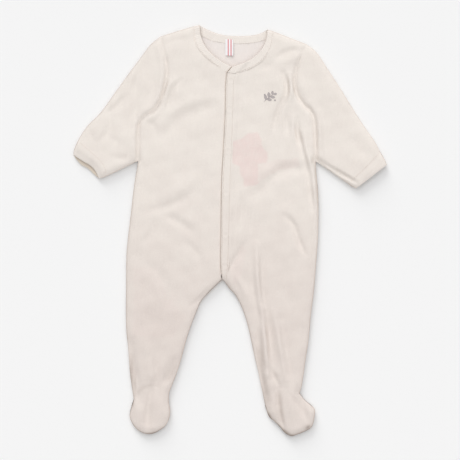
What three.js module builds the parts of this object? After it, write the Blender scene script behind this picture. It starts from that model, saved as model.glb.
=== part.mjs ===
// A footed baby sleepsuit of ivory velour, laid flat on its back with its front fastened.
// Millimetres: +X to the wearer's left, +Y from the feet to the neck, +Z up from the floor.
// Its two layers of cloth lie on each other and round off into one another at the garment's edges.
import * as THREE from 'three';

// Driving dimensions
const clothWall = 2; // velour with its pile
const bandWall = 2.4; // neck binding and placket, folded cloth
const laidHeight = 7.8; // top of the front over the floor, away from folds
const seamHeight = laidHeight / 2; // where front and back meet along the garment's edges
const seamGap = 0.3; // between neighbouring pieces
const curvedGap = 0.4; // between pieces whose seams run in curves
const frontRoll = 10; // how far in from the edge the front has risen to its full height
const backRoll = 7; // how far in from the edge the back has come down to the floor
const foldLowest = -3.2; // the front's inside stays clear of the back
const foldHighest = 3.6;
const lapDrop = 2.7; // the right front lies this much lower under the placket
const lapRamp = 10; // over this width beside the placket's edge
const lapClear = 4; // and all the way down this far before that edge
const placketRise = 1.2; // the placket's top over the front's top
const placketWidth = 12;
const placketRamp = 9; // the left front rises to the placket over this width
const bandRise = 0.4; // the neck binding's top over the front's top
const foldEndShare = 0.35; // of a fold's height is left at its two ends
const frameShift = { x: 0, y: 0.25 }; // brings the middle of the footprint to the origin

// Mesh: rows along each stretch of a piece, and how its ends and directions are taken
const frontRows = { body: 11, lapEnd: 2, leg: 13 };
const backRows = { body: 7, lapEnd: 2, leg: 9 };
const sleeveRows = 15;
const cuffRows = 4;
const footRows = 9;
const endFade = 9; // a power: how soon the bend of a panel's shoulder or instep dies away along it
const shortStep = 0.002; // a share to either side of a point, to take a direction from

// Stations shared by neighbouring pieces, so that their seams run side by side
const crowded = (steps) => {
  const turn = Math.PI / steps;
  return Array.from({ length: steps + 1 }, (_, i) => (1 - Math.cos(turn * i)) / 2);
};
const armholeShares = crowded(14); // close together at the shoulder and at the underarm
const acrossFront = crowded(13);
const acrossBack = crowded(8);
const frontNeckStations = 9; // of the armhole's stations, so many lie beside the front neck seam
const backNeckStations = 6;
// Shares of the way from the shoulder to the ankle
const underarmShare = 0.3;
const neckShare = underarmShare * armholeShares[frontNeckStations];
const backNeckShare = underarmShare * armholeShares[backNeckStations];
const lapEndShare = 0.65;
const crotchShare = 0.68;

const ivory = 0xece2d8;
const labelWhite = 0xf7f4f4;
const snapSteel = 0xd9d9d6;

// Outline curves, each through its own points, from the neck outwards and downwards
const outline = {
  right: {
    shoulder: [[-50, 278], [-72, 271.5], [-95, 264]],
    armhole: [[-95, 264], [-90.5, 245.5], [-87, 229], [-86, 211.5], [-89, 195], [-94, 177.5],
      [-104, 163], [-116.5, 155], [-123, 145], [-125, 130], [-125, 112], [-125, 95]],
    sleeveTop: [[-95, 264], [-109, 252.5], [-121, 236.5], [-141, 209.5], [-159, 184.5],
      [-171.5, 166.5], [-181.5, 155], [-194.5, 142], [-206.5, 124]],
    sleeveUnder: [[-125, 95], [-144, 85.5], [-160.5, 77.5], [-168.5, 74]],
    cuffSeam: [[-206.5, 124], [-192, 112], [-176, 97], [-168.5, 85], [-168.5, 74]],
    cuffTop: [[-206.5, 124], [-212, 111], [-213.5, 103]],
    cuffUnder: [[-168.5, 74], [-173, 72], [-178.5, 71]],
    cuffHemFront: [[-213.5, 103], [-199, 96.5], [-189.5, 90.5], [-183, 84], [-178.5, 71]],
    cuffHemBack: [[-213.5, 103], [-204, 91], [-193, 84.5], [-186.5, 78], [-178.5, 71]],
    side: [[-125, 95], [-127, 82.5], [-130.5, 62], [-134, 32], [-138, -2], [-141, -33.5],
      [-141.5, -74], [-141.5, -128.5], [-138.5, -162.5], [-136, -196.5], [-131, -230]],
    frontNeck: [[-50, 278], [-48.5, 264.5], [-45, 251.5], [-36.5, 239.5], [-23, 228], [-5, 216], [6, 210]],
    neckEdge: [[-41.5, 279.5], [-39.5, 264.5], [-34.5, 252.5], [-26.5, 242], [-14.5, 232], [2.5, 223],
      [12, 219]],
    frontCentre: [[6, 210], [5, 165], [3, 112], [1, 43], [-0.5, 0], [-2, -33.5], [-3.5, -52], [-12, -60],
      [-11.2, -66.5]],
    frontInseam: [[-11.5, -66], [-19, -73.5], [-29.5, -83.5], [-40.5, -96.5], [-47, -112], [-54, -131],
      [-60, -150.5], [-66.5, -175], [-73.5, -196.5], [-83, -221]],
    backNeck: [[-50, 278], [-42.5, 268.5], [-32, 262], [-19, 257.5], [-2.5, 255]],
    inseam: [[-10, -67.5], [-17.5, -74], [-28.5, -85], [-39.5, -97], [-46, -112], [-53.5, -131],
      [-60, -150.5], [-66.5, -175], [-73.5, -196.5], [-83, -221]],
    instep: [[-131, -230], [-126.5, -220.5], [-118.5, -214], [-106, -212], [-94, -215], [-83, -221]],
    footOuter: [[-131, -230], [-134.5, -241.5], [-136.5, -252.5], [-133.5, -262], [-127, -270.5],
      [-118.5, -276]],
    footInner: [[-83, -221], [-83.5, -233], [-81.5, -246], [-83.5, -257.5], [-89, -267], [-99.5, -274.5]],
    toe: [[-118.5, -276], [-112.5, -277.2], [-106, -276.8], [-99.5, -274.5]],
  },
  left: {
    shoulder: [[58.5, 271.5], [81.5, 262.5], [104.5, 253.5]],
    armhole: [[104.5, 253.5], [98.5, 241.5], [93, 228.5], [89, 213], [88.5, 198], [92.5, 183],
      [101.5, 170], [110, 162.5], [114.5, 150.5], [116, 132.5], [116.5, 113.5], [116.5, 94.5]],
    sleeveTop: [[104.5, 253.5], [118.5, 242], [133.5, 219.5], [149.5, 195], [166, 168], [182, 143],
      [197, 121.5], [203.5, 109]],
    sleeveUnder: [[116.5, 94.5], [133.5, 83], [149.5, 71.5], [160, 64.5]],
    cuffSeam: [[203.5, 109], [184, 88], [160, 64.5]],
    cuffTop: [[203.5, 109], [210, 98], [213.5, 89.5]],
    cuffUnder: [[160, 64.5], [166, 60], [172, 57.5]],
    cuffHemFront: [[213.5, 89.5], [193, 73.5], [172, 57.5]],
    cuffHemBack: [[213.5, 89.5], [193, 73.5], [172, 57.5]],
    side: [[116.5, 94.5], [117.5, 79.5], [119.5, 59], [120.5, 34.5], [120, -6], [117.5, -43], [114, -85],
      [110, -116.5], [107, -149], [102.5, -179], [98, -210], [94.5, -221.5]],
    frontNeck: [[58.5, 271.5], [57, 255], [50.5, 239.5], [38, 226.5], [23, 218.5], [8.5, 213.8]],
    neckEdge: [[51, 273.5], [49, 260.5], [43, 247], [32, 236], [19, 228.5], [3.5, 223]],
    frontCentre: [[8.5, 213.8], [6.5, 199], [5.5, 165], [3.5, 112], [1, 43], [-1, -33.5], [-3.5, -60],
      [-5.5, -72.5]],
    frontInseam: [[-5.5, -72.5], [0, -80], [7, -87.5], [15, -102.5], [22, -121.5], [28, -146], [33.5, -172],
      [39.5, -198], [48, -238.5]],
    backNeck: [[58.5, 271.5], [52.5, 263], [45, 259.5], [34, 256.5], [17.5, 255], [-2.5, 255]],
    inseam: [[-10, -67.5], [-5.5, -72.5], [0, -80], [7, -87.5], [15, -102.5], [22, -121.5], [28, -146],
      [33.5, -172], [39.5, -198], [48, -238.5]],
    instep: [[94.5, -221.5], [84.5, -216], [72, -213.5], [60, -217], [51.5, -226.5], [48, -238.5]],
    footOuter: [[94.5, -221.5], [102, -231], [114.5, -242], [115.5, -251], [111.5, -267], [101.5, -274]],
    footInner: [[48, -238.5], [53, -253], [61, -260.5], [68.5, -268], [73.5, -274.5], [79, -278.5]],
    toe: [[101.5, -274], [92.5, -277.5], [84.5, -280], [79, -278.5]],
  },
};
const backCentre = [[-2.5, 255], [-4, 150], [-8, 20], [-10, -67.5]];
const backNeckEdge = [[-41.5, 279.5], [-31.5, 274], [-17.5, 268.5], [-2.5, 265.5], [17.5, 265], [34, 266.5],
  [43.5, 269.5], [51, 273.5]];
const placketEdge = [[-3.5, 215], [-5.5, 199], [-6, 165], [-8.5, 112], [-10.5, 78], [-11.5, 43], [-12, 0.5],
  [-12.5, -33.5], [-12, -53.5], [-10.5, -66]];

// The front's largest folds: from x1,y1 to x2,y2, bowed to the left of that way, height below 0 for a trough
const foldColumns = ['x1', 'y1', 'x2', 'y2', 'bow', 'width', 'height'];
const foldRows = [
  [-24, 177, -94, 134, -11, 9, 1.8], // across the right chest, and the trough under it
  [-22, 165, -93, 119, -11, 7, -1.8],
  [-38, 72, -101, 42, 0, 8, 1.3], // two that meet at the right side, over and under the waist
  [-38, 60, -101, 30, 0, 7, -1.7],
  [-86, 17, -46, -1, 0, 8, -1.5],
  [-62, -14, -38, -46, 0, 7, -1.5],
  [-97, -53, -89, -101, 0, 9, -1.2], // right thigh
  [-69, 195, -81, 167, 0, 5, -1.2], // beside the right armhole
  [-95, 246, -98, 178, 5, 6, 1.8],
  [-93, 256, -58, 262, 0, 6, -1.2],
  [-122, 214, -126, 159, 0, 6, -1.6], // right sleeve
  [-148, 183, -180, 151, 0, 5, -1.4],
  [-129, -156, -114, -213, 0, 7, -2.6], // right shin and ankle
  [-112, -150, -101, -206, 0, 10, 1.6],
  [-71, -151, -90, -200, 0, 5, -2.2],
  [-114, -228, -113, -264, 0, 5, -1.6], // right foot
  [-95, -230, -95, -262, 0, 8, 1.5],
  [72, 214, 64, 147, 10, 5, -2.6], // from the left shoulder down the chest
  [82, 216, 84, 164, 0, 6, 1.6],
  [99, 248, 43, 224, 0, 6, -1.8],
  [96, 84, 41, 44, -12, 6, -2.7], // across the left waist, and its ridge
  [92, 97, 36, 58, -12, 8, 1.4],
  [96, 119, 116, 25, 1, 5, -2.4], // down the left side
  [80, 17, 104, -34, 0, 6, -1.5],
  [17, 40, 5, -6, 0, 5, -1.3], // beside the placket
  [21, -18, 3, -46, 0, 5, -1.6],
  [4, -59, 22, -92, 0, 5, 1.6], // left crotch
  [35, -26, 53, -206, -6, 7, 2.8], // down the left leg
  [44, -26, 49, -94, 0, 5, -1.4],
  [47, -131, 66, -210, 0, 5, -2.7],
  [60, -110, 79, -204, 0, 7, 1.8],
  [134, 85, 171, 65, 0, 3, -2.2], // along the left sleeve's underarm
  [65, -223, 71, -263, 0, 4, -2.4], // left foot
  [95, -238, 104, -263, 0, 5, -1.6],
  [81, -224, 87, -268, 0, 9, 1.9],
];
const folds = foldRows.map((row) => Object.fromEntries(foldColumns.map((name, i) => [name, row[i]])));

// Snap fasteners shut between the two laps: one at each end and the rest in even steps
const snapHeights = [204, 165, 108, 51, -6, -48];
const snap = { radius: 5.5, rimRadius: 4, thick: 1.1, rim: 0.3, sides: 14 };
// A blank tag that hangs from the back neck seam and lies on the back
const neckLabel = { left: -6.3, right: 4.5, top: 260.5, bottom: 238.5, lean: 0.4, thick: 0.8 };

// Curves and shares
const clamp01 = (v) => Math.min(1, Math.max(0, v));
const smooth = (v) => clamp01(v) ** 2 * (3 - 2 * clamp01(v));
const mix = (a, b, share) => a.clone().lerp(b, share);
const curve = (points) => new THREE.SplineCurve(points.map(([x, y]) => new THREE.Vector2(x, y)));
const along = (points) => {
  const line = curve(points);
  return (share) => line.getPointAt(clamp01(share));
};

// A curve moved aside, so that a piece clears the seam it is sewn to
function aside(line, gap) {
  return (share) => {
    const way = line(share + shortStep).sub(line(share - shortStep)).normalize();
    return line(share).add(new THREE.Vector2(-way.y, way.x).multiplyScalar(gap));
  };
}

// A border of several curves end to end, each run at an even pace up to its own share of the way
function border(...stretches) {
  const parts = stretches.map(([points, until]) => ({ line: along(points), until }));
  return (share) => {
    let from = 0;
    for (const { line, until } of parts) {
      if (share <= until) return line((share - from) / (until - from));
      from = until;
    }
    return parts[parts.length - 1].line(1);
  };
}

// Where a panel's points lie on the floor: straight rows between its two long borders, bent to follow its end
// curves, which lose their hold along the panel as a power of the way
function panelPlan({ outer, inner, first, last, fade = 1 }) {
  const firstBend = (s) => first(s).sub(mix(outer(0), inner(0), s));
  const lastBend = (s) => last(s).sub(mix(outer(1), inner(1), s));
  return (s, t) => {
    const point = mix(outer(t), inner(t), s);
    if (first) point.addScaledVector(firstBend(s), (1 - t) ** fade);
    if (last) point.addScaledVector(lastBend(s), t ** fade);
    return point;
  };
}

// Shares in even steps between stops, with a number of steps for each stretch
function stepped(...stretches) {
  const shares = [stretches[0][0]];
  for (const [from, to, steps] of stretches) {
    for (let i = 1; i <= steps; i++) shares.push(from + ((to - from) * i) / steps);
  }
  return shares;
}

// The garment's rounded edges, run with the cloth on the left hand. Neck and cuffs are open, so they aren't
// here. The body's come first: at the armholes' ends they say which way is in.
const edgeStep = 1.5;
const edgeReach = 0.15; // a point this near to a rounded edge lies on it
function edgeLine(...parts) {
  const points = [];
  for (const { points: through, backwards } of parts) {
    const line = curve(through);
    const steps = Math.max(2, Math.round(line.getLength() / edgeStep));
    for (let i = 0; i <= steps; i++) {
      const share = backwards ? 1 - i / steps : i / steps;
      const point = line.getPointAt(share);
      if (!points.length || point.distanceTo(points[points.length - 1]) > 1e-6) points.push(point);
    }
  }
  return points;
}
const forth = (points) => ({ points });
const back = (points) => ({ points, backwards: true });
const { right, left } = outline;
const neckTop = {
  right: [right.neckEdge[0], right.shoulder[0]],
  left: [left.neckEdge[0], left.shoulder[0]],
};
const edgeLines = [
  edgeLine(
    forth(right.side), forth(right.footOuter), forth(right.toe), back(right.footInner), back(right.inseam),
    forth(left.inseam), forth(left.footInner), back(left.toe), back(left.footOuter), back(left.side),
  ),
  edgeLine(forth(neckTop.right), forth(right.shoulder)),
  edgeLine(back(left.shoulder), back(neckTop.left)),
  edgeLine(forth(right.sleeveTop), forth(right.cuffTop)),
  edgeLine(back(right.cuffUnder), back(right.sleeveUnder)),
  edgeLine(back(left.cuffTop), back(left.sleeveTop)),
  edgeLine(forth(left.sleeveUnder), forth(left.cuffUnder)),
];

// How far a point lies in from the nearest rounded edge, and which way is further in
function fromEdge(x, y) {
  let nearest = { distance: Infinity };
  for (const line of edgeLines) {
    for (let i = 1; i < line.length; i++) {
      const a = line[i - 1];
      const wayX = line[i].x - a.x;
      const wayY = line[i].y - a.y;
      const length = Math.hypot(wayX, wayY);
      const share = clamp01(((x - a.x) * wayX + (y - a.y) * wayY) / length ** 2);
      const offX = x - a.x - share * wayX;
      const offY = y - a.y - share * wayY;
      const distance = Math.hypot(offX, offY);
      if (distance < nearest.distance - 1e-9) {
        const outside = share > 0 && share < 1 && wayX * offY < wayY * offX;
        const onLine = outside || distance < edgeReach;
        nearest = {
          distance,
          inside: onLine ? 0 : distance - edgeReach,
          way: onLine
            ? new THREE.Vector2(-wayY / length, wayX / length)
            : new THREE.Vector2(offX / distance, offY / distance),
        };
      }
    }
  }
  return nearest;
}

// A quarter round: 0 at the edge, 1 from the roll's width inwards
const rounded = (distance, roll) => Math.sqrt(1 - (1 - clamp01(distance / roll)) ** 2);

// The height that the folds add: a bell across each fold's line, fading towards its two ends
function foldHeight(x, y) {
  let sum = 0;
  for (const fold of folds) {
    const wayX = fold.x2 - fold.x1;
    const wayY = fold.y2 - fold.y1;
    const length = Math.hypot(wayX, wayY);
    const share = ((x - fold.x1) * wayX + (y - fold.y1) * wayY) / length ** 2;
    const aside = ((y - fold.y1) * wayX - (x - fold.x1) * wayY) / length;
    const held = clamp01(share);
    const across = aside - fold.bow * 4 * held * (1 - held);
    const past = (share - held) * length;
    const fade = foldEndShare + (1 - foldEndShare) * Math.sin(Math.PI * held);
    sum += fold.height * fade * Math.exp(-(across ** 2 + past ** 2) / fold.width ** 2);
  }
  return sum;
}

// How far x lies past the placket's free edge at that height
const placketLine = curve(placketEdge).getSpacedPoints(40);
function pastPlacketEdge(x, y) {
  const i = placketLine.findIndex((p) => p.y <= y);
  if (i === 0) return x - placketLine[0].x;
  if (i < 0) return x - placketLine[placketLine.length - 1].x;
  const above = placketLine[i - 1];
  const below = placketLine[i];
  return x - THREE.MathUtils.mapLinear(y, above.y, below.y, above.x, below.x);
}
const lapShare = (x, y) => smooth((pastPlacketEdge(x, y) + lapClear + lapRamp) / lapRamp);
const underLap = (x, y) => -lapDrop * lapShare(x, y);
const towardsPlacket = (x, y) => {
  const beside = (pastPlacketEdge(x, y) - placketWidth) / placketRamp;
  return placketRise * (1 - smooth(beside));
};
const clearOfLap = (x, y) => 1 - lapShare(x, y); // nothing folds where the snaps lie

// One layer of cloth, as an outer and an inner point for each point of a plan. At a rounded edge the inner
// point lies further in, or that far along the row where a way is given.
function frontLayer({ wall = clothWall, gap = seamGap, lift = () => 0, foldShare = () => 1 } = {}) {
  return {
    up: true,
    at(point, way) {
      const edge = fromEdge(point.x, point.y);
      const share = rounded(edge.inside, frontRoll);
      const base = seamHeight + gap / 2;
      const inwards = (way ?? edge.way).clone();
      inwards.multiplyScalar(clothWall * (1 - clamp01(edge.inside / frontRoll)));
      const raised = lift(point.x, point.y) + foldShare(point.x, point.y) * foldHeight(point.x, point.y);
      const rise = laidHeight - base + Math.min(foldHighest, Math.max(foldLowest, raised));
      return {
        outer: [point.x, point.y, base + rise * share],
        inner: [point.x + inwards.x, point.y + inwards.y, base + (rise - wall) * share],
      };
    },
  };
}
function backLayer({ wall = clothWall, gap = seamGap } = {}) {
  return {
    up: false,
    at(point, way) {
      const edge = fromEdge(point.x, point.y);
      const share = rounded(edge.inside, backRoll);
      const base = seamHeight - gap / 2;
      const inwards = (way ?? edge.way).clone();
      inwards.multiplyScalar(clothWall * (1 - clamp01(edge.inside / backRoll)));
      return {
        outer: [point.x, point.y, base * (1 - share)],
        inner: [point.x + inwards.x, point.y + inwards.y, base + (wall - base) * share],
      };
    },
  };
}

// A closed solid from sheets that may share borders. Each sheet is a plan, shares across and along it, and a
// layer.
function clothSolid(...sheets) {
  const index = new Map();
  const outer = [];
  const inner = [];
  const quads = [];
  const vertex = (pair) => {
    const key = pair.outer.map((v) => Math.round(v * 1e4)).join();
    if (!index.has(key)) {
      index.set(key, outer.length);
      outer.push(pair.outer);
      inner.push(pair.inner);
    }
    return index.get(key);
  };
  for (const { plan, across, down, layer, alongRows } of sheets) {
    const inwardsOf = (s) => (s < 0.5 ? s + shortStep : s - shortStep);
    const rowWay = (s, t) => plan(inwardsOf(s), t).sub(plan(s, t)).normalize();
    const point = (s, t) => vertex(layer.at(plan(s, t), alongRows ? rowWay(s, t) : undefined));
    const grid = down.map((t) => across.map((s) => point(s, t)));
    const row = plan(0.6, 0.5).sub(plan(0.4, 0.5));
    const column = plan(0.5, 0.6).sub(plan(0.5, 0.4));
    const forwards = row.cross(column) > 0 === layer.up;
    for (let r = 1; r < down.length; r++) {
      for (let k = 1; k < across.length; k++) {
        const quad = [grid[r - 1][k - 1], grid[r - 1][k], grid[r][k], grid[r][k - 1]];
        quads.push(forwards ? quad : quad.reverse());
      }
    }
  }
  const count = outer.length;
  const faces = [];
  const edges = new Set();
  const addQuad = ([a, b, c, d]) => faces.push(a, b, c, a, c, d);
  for (const quad of quads) {
    addQuad(quad);
    addQuad(quad.map((i) => i + count).reverse());
    quad.forEach((from, i) => edges.add(from + '>' + quad[(i + 1) % 4]));
  }
  // Along its border the sheet's two faces are joined, cut across the same way as the neighbour over the seam
  for (const quad of quads) {
    quad.forEach((from, i) => {
      const to = quad[(i + 1) % 4];
      if (edges.has(to + '>' + from)) return;
      const rim = [to, from, from + count, to + count];
      addQuad(outer[to][1] > outer[from][1] ? rim : [...rim.slice(1), rim[0]]);
    });
  }
  const geometry = new THREE.BufferGeometry();
  geometry.setAttribute('position', new THREE.Float32BufferAttribute([...outer, ...inner].flat(), 3));
  geometry.setIndex(faces);
  geometry.computeVertexNormals();
  return geometry;
}

const suit = new THREE.Group();
const velour = (colour = ivory) => (
  new THREE.MeshStandardMaterial({ color: colour, roughness: 0.95, metalness: 0 })
);
function addPiece(name, geometry, material = velour()) {
  const mesh = new THREE.Mesh(geometry, material);
  mesh.name = name;
  suit.add(mesh);
  return mesh;
}

// Fronts: each is one piece from the shoulder to the ankle
const besideArmhole = armholeShares.map((share) => share * underarmShare);
const downFrom = (...stretches) => [...besideArmhole, ...stepped(...stretches).slice(1)];
const rowsOf = ({ body, lapEnd, leg }) => downFrom(
  [underarmShare, lapEndShare, body], [lapEndShare, crotchShare, lapEnd], [crotchShare, 1, leg],
);
const frontDown = rowsOf(frontRows);
function frontPlan(side) {
  const shoulder = along(side.shoulder);
  return panelPlan({
    outer: border([side.armhole, underarmShare], [side.side, 1]),
    inner: border([side.frontNeck, neckShare], [side.frontCentre, crotchShare], [side.frontInseam, 1]),
    first: (s) => shoulder(1 - s),
    last: along(side.instep),
    fade: endFade,
  });
}
addPiece('front_right', clothSolid({
  plan: frontPlan(right),
  across: acrossFront,
  down: frontDown,
  layer: frontLayer({ lift: underLap, foldShare: clearOfLap }),
}));
addPiece('front_left', clothSolid({
  plan: frontPlan(left), across: acrossFront, down: frontDown, layer: frontLayer({ lift: towardsPlacket }),
}));

// Back: one piece, both legs with it, its halves sharing the centre line down to the crotch
const backDown = rowsOf(backRows);
function backHalf(side) {
  const shoulder = along(side.shoulder);
  return {
    plan: panelPlan({
      outer: border([side.armhole, underarmShare], [side.side, 1]),
      inner: border([side.backNeck, backNeckShare], [backCentre, crotchShare], [side.inseam, 1]),
      first: (s) => shoulder(1 - s),
      fade: endFade,
    }),
    across: acrossBack,
    down: backDown,
    layer: backLayer(),
  };
}
addPiece('back', clothSolid(backHalf(right), backHalf(left)));

// Sleeves: one piece each, sewn into a tube that lies flat and is open at both ends
function tube({ front, back: under, across, down }) {
  return clothSolid(
    { plan: front, across, down, layer: frontLayer({ gap: 0 }), alongRows: true },
    { plan: under, across, down, layer: backLayer({ gap: 0 }), alongRows: true },
  );
}
function sleeve(side, outwards) {
  const plan = panelPlan({
    outer: along(side.sleeveTop),
    inner: along(side.sleeveUnder),
    first: aside(along(side.armhole), outwards * curvedGap),
    last: along(side.cuffSeam),
  });
  return tube({ front: plan, back: plan, across: armholeShares, down: stepped([0, 1, sleeveRows]) });
}
const towardsRight = -1; // of a curve that runs down the garment, the side that faces the wearer's right
const towardsLeft = 1;
addPiece('sleeve_right', sleeve(right, towardsRight));
addPiece('sleeve_left', sleeve(left, towardsLeft));

// Cuffs: short tubes sewn to the sleeves' ends, the upper layer's hem drawn back a little from the lower
// one's
function cuff(side, outwards) {
  const plan = (hem) => panelPlan({
    outer: along(side.cuffTop),
    inner: along(side.cuffUnder),
    first: aside(along(side.cuffSeam), outwards * curvedGap),
    last: along(hem),
  });
  return tube({
    front: plan(side.cuffHemFront),
    back: plan(side.cuffHemBack),
    across: armholeShares,
    down: stepped([0, 1, cuffRows]),
  });
}
addPiece('cuff_right', cuff(right, towardsRight));
addPiece('cuff_left', cuff(left, towardsLeft));

// Feet: an upper with an arched instep seam, over a sole that runs on to the heel
function footPlan(side, top) {
  return panelPlan({
    outer: along(side.footOuter), inner: along(side.footInner), first: top, last: along(side.toe),
  });
}
const footDown = stepped([0, 1, footRows]);
const towardsToes = { right: -1, left: 1 }; // the instep runs from the foot's outer side to its inner side
for (const [name, side] of Object.entries(outline)) {
  const gap = towardsToes[name] * curvedGap;
  const heel = [side.instep[0], side.instep[side.instep.length - 1]];
  addPiece('foot_upper_' + name, clothSolid({
    plan: footPlan(side, aside(along(side.instep), gap)),
    across: acrossFront,
    down: footDown,
    layer: frontLayer(),
  }));
  addPiece('foot_sole_' + name, clothSolid({
    plan: footPlan(side, aside(along(heel), gap)), across: acrossBack, down: footDown, layer: backLayer(),
  }));
}

// Neck binding in three stretches, each between the panel's neck seam and the free edge. The left one runs on
// over the placket's top end.
const bindingAcross = [0, 0.33, 0.67, 1];
const firstShares = (count) => armholeShares.slice(0, count + 1).map((share) => share / armholeShares[count]);
const besideFrontNeck = firstShares(frontNeckStations);
const besideBackNeck = firstShares(backNeckStations);
const topOfPlacket = [left.frontNeck[left.frontNeck.length - 1], placketEdge[0]];
const overPlacketShare = 0.88; // the left binding has covered the left front's neck seam here
function bindingPlan(seam, edge, towardsNeck) {
  const sewn = aside(seam, towardsNeck * curvedGap);
  const free = along(edge);
  return (s, t) => mix(sewn(t), free(t), s);
}
function frontBinding({ seam, edge, towardsNeck, down, lift }) {
  return clothSolid({
    plan: bindingPlan(seam, edge, towardsNeck),
    across: bindingAcross,
    down,
    layer: frontLayer({ wall: bandWall, lift: (x, y) => bandRise + lift(x, y), foldShare: () => 0 }),
  });
}
addPiece('neck_binding_right', frontBinding({
  seam: along(right.frontNeck), edge: right.neckEdge, towardsNeck: 1, down: besideFrontNeck, lift: underLap,
}));
addPiece('neck_binding_left', frontBinding({
  seam: border([left.frontNeck, overPlacketShare], [topOfPlacket, 1]),
  edge: left.neckEdge,
  towardsNeck: -1,
  down: [...besideFrontNeck.map((share) => share * overPlacketShare), (1 + overPlacketShare) / 2, 1],
  lift: towardsPlacket,
}));
const halfOfBackNeck = besideBackNeck.map((share) => share / 2);
addPiece('neck_binding_back', clothSolid({
  plan: bindingPlan(border([right.backNeck, 0.5], [left.backNeck.toReversed(), 1]), backNeckEdge, 1),
  across: bindingAcross,
  down: [...halfOfBackNeck, ...halfOfBackNeck.toReversed().slice(1).map((share) => 1 - share)],
  layer: backLayer({ wall: bandWall }),
}));

// Placket: a folded strip down the left front's edge, from the neck binding to the crotch
const placketAcross = [0, 0.12, 0.5, 0.88, 1];
const besideCentre = frontDown.filter((share) => share >= neckShare && share <= crotchShare)
  .map((share) => (share - neckShare) / (crotchShare - neckShare));
const placketFree = along(placketEdge);
const placketSewn = aside(along(left.frontCentre), -curvedGap);
addPiece('placket', clothSolid({
  plan: (s, t) => mix(placketFree(t), placketSewn(t), s),
  across: placketAcross,
  down: besideCentre,
  layer: frontLayer({ wall: bandWall, lift: () => placketRise, foldShare: () => 0 }),
}));

// Snaps: pressed discs, shut between the placket and the right front's lap
const snapProfile = [
  [0, 0],
  [snap.radius, 0],
  [snap.radius, snap.thick - snap.rim],
  [snap.rimRadius, snap.thick],
  [0, snap.thick],
].map(([x, y]) => new THREE.Vector2(x, y));
for (const [i, y] of snapHeights.entries()) {
  const disc = new THREE.LatheGeometry(snapProfile, snap.sides).rotateX(Math.PI / 2);
  const piece = addPiece('snap_' + (i + 1), disc, new THREE.MeshStandardMaterial({
    color: snapSteel, roughness: 0.35, metalness: 0.9,
  }));
  piece.position.set(placketWidth / 2 - pastPlacketEdge(0, y), y, laidHeight - lapDrop + seamGap);
}

// Neck label: it lies on the back's neck binding and on the back
const labelBottom = bandWall + seamGap;
addPiece('neck_label', clothSolid({
  plan: (s, t) => new THREE.Vector2(
    THREE.MathUtils.lerp(neckLabel.left, neckLabel.right, s),
    THREE.MathUtils.lerp(neckLabel.top, neckLabel.bottom, t) - neckLabel.lean * s,
  ),
  across: stepped([0, 1, 3]),
  down: stepped([0, 1, 5]),
  layer: {
    up: true,
    at: ({ x, y }) => ({ outer: [x, y, labelBottom + neckLabel.thick], inner: [x, y, labelBottom] }),
  },
}), velour(labelWhite));

suit.position.set(frameShift.x, frameShift.y, 0);
export default suit;
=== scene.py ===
"""A footed baby sleepsuit of ivory velour, laid flat on its back on a pale table, front up.

Lengths are in millimetres until a mesh is made. A panel is a grid of points: straight rows between its two
long borders, bent to follow its end seams. Its height over the table is a quarter round at the garment's
edges and level inside them, plus folds, ripples and the dips beside its seams. A fold is a bell across its
line: its height times e to the minus square of the distance over the fold's width. Each panel is one
closed shell, its outer points joined along the border to the same points moved in by the cloth's
thickness.
"""
import math

import bpy
import numpy as np
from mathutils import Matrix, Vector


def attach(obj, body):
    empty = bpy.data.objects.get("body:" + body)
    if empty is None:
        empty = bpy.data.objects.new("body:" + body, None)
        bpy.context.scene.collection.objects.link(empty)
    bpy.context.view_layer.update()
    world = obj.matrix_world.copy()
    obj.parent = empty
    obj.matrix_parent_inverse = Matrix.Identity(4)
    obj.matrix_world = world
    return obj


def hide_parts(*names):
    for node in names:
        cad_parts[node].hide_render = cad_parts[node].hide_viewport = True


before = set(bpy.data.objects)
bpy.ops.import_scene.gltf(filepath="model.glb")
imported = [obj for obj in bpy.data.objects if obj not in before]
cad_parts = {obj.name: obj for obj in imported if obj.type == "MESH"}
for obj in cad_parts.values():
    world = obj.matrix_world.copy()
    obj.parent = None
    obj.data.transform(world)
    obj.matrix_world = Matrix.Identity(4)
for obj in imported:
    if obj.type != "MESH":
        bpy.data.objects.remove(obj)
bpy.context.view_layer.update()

# Back
# One piece of velour, both legs with it, cut from shoulder to heel. It lies pile down on the table, and at
# the sides it rounds up to the seams that join it to the fronts. Its knitted inside shows through the
# neck.
WALL = 2.0  # velour with its pile
LAID = 7.8  # top of the front over the table
SEAM_HEIGHT = LAID / 2  # where front and back meet at the garment's edges
SEAM_GAP = 0.3
FRONT_ROLL = 10.0  # how far in from the edge each layer comes level
BACK_ROLL = 7.0
FRAME_SHIFT = (0.0, 0.25)  # brings the middle of the footprint to the origin
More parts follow.
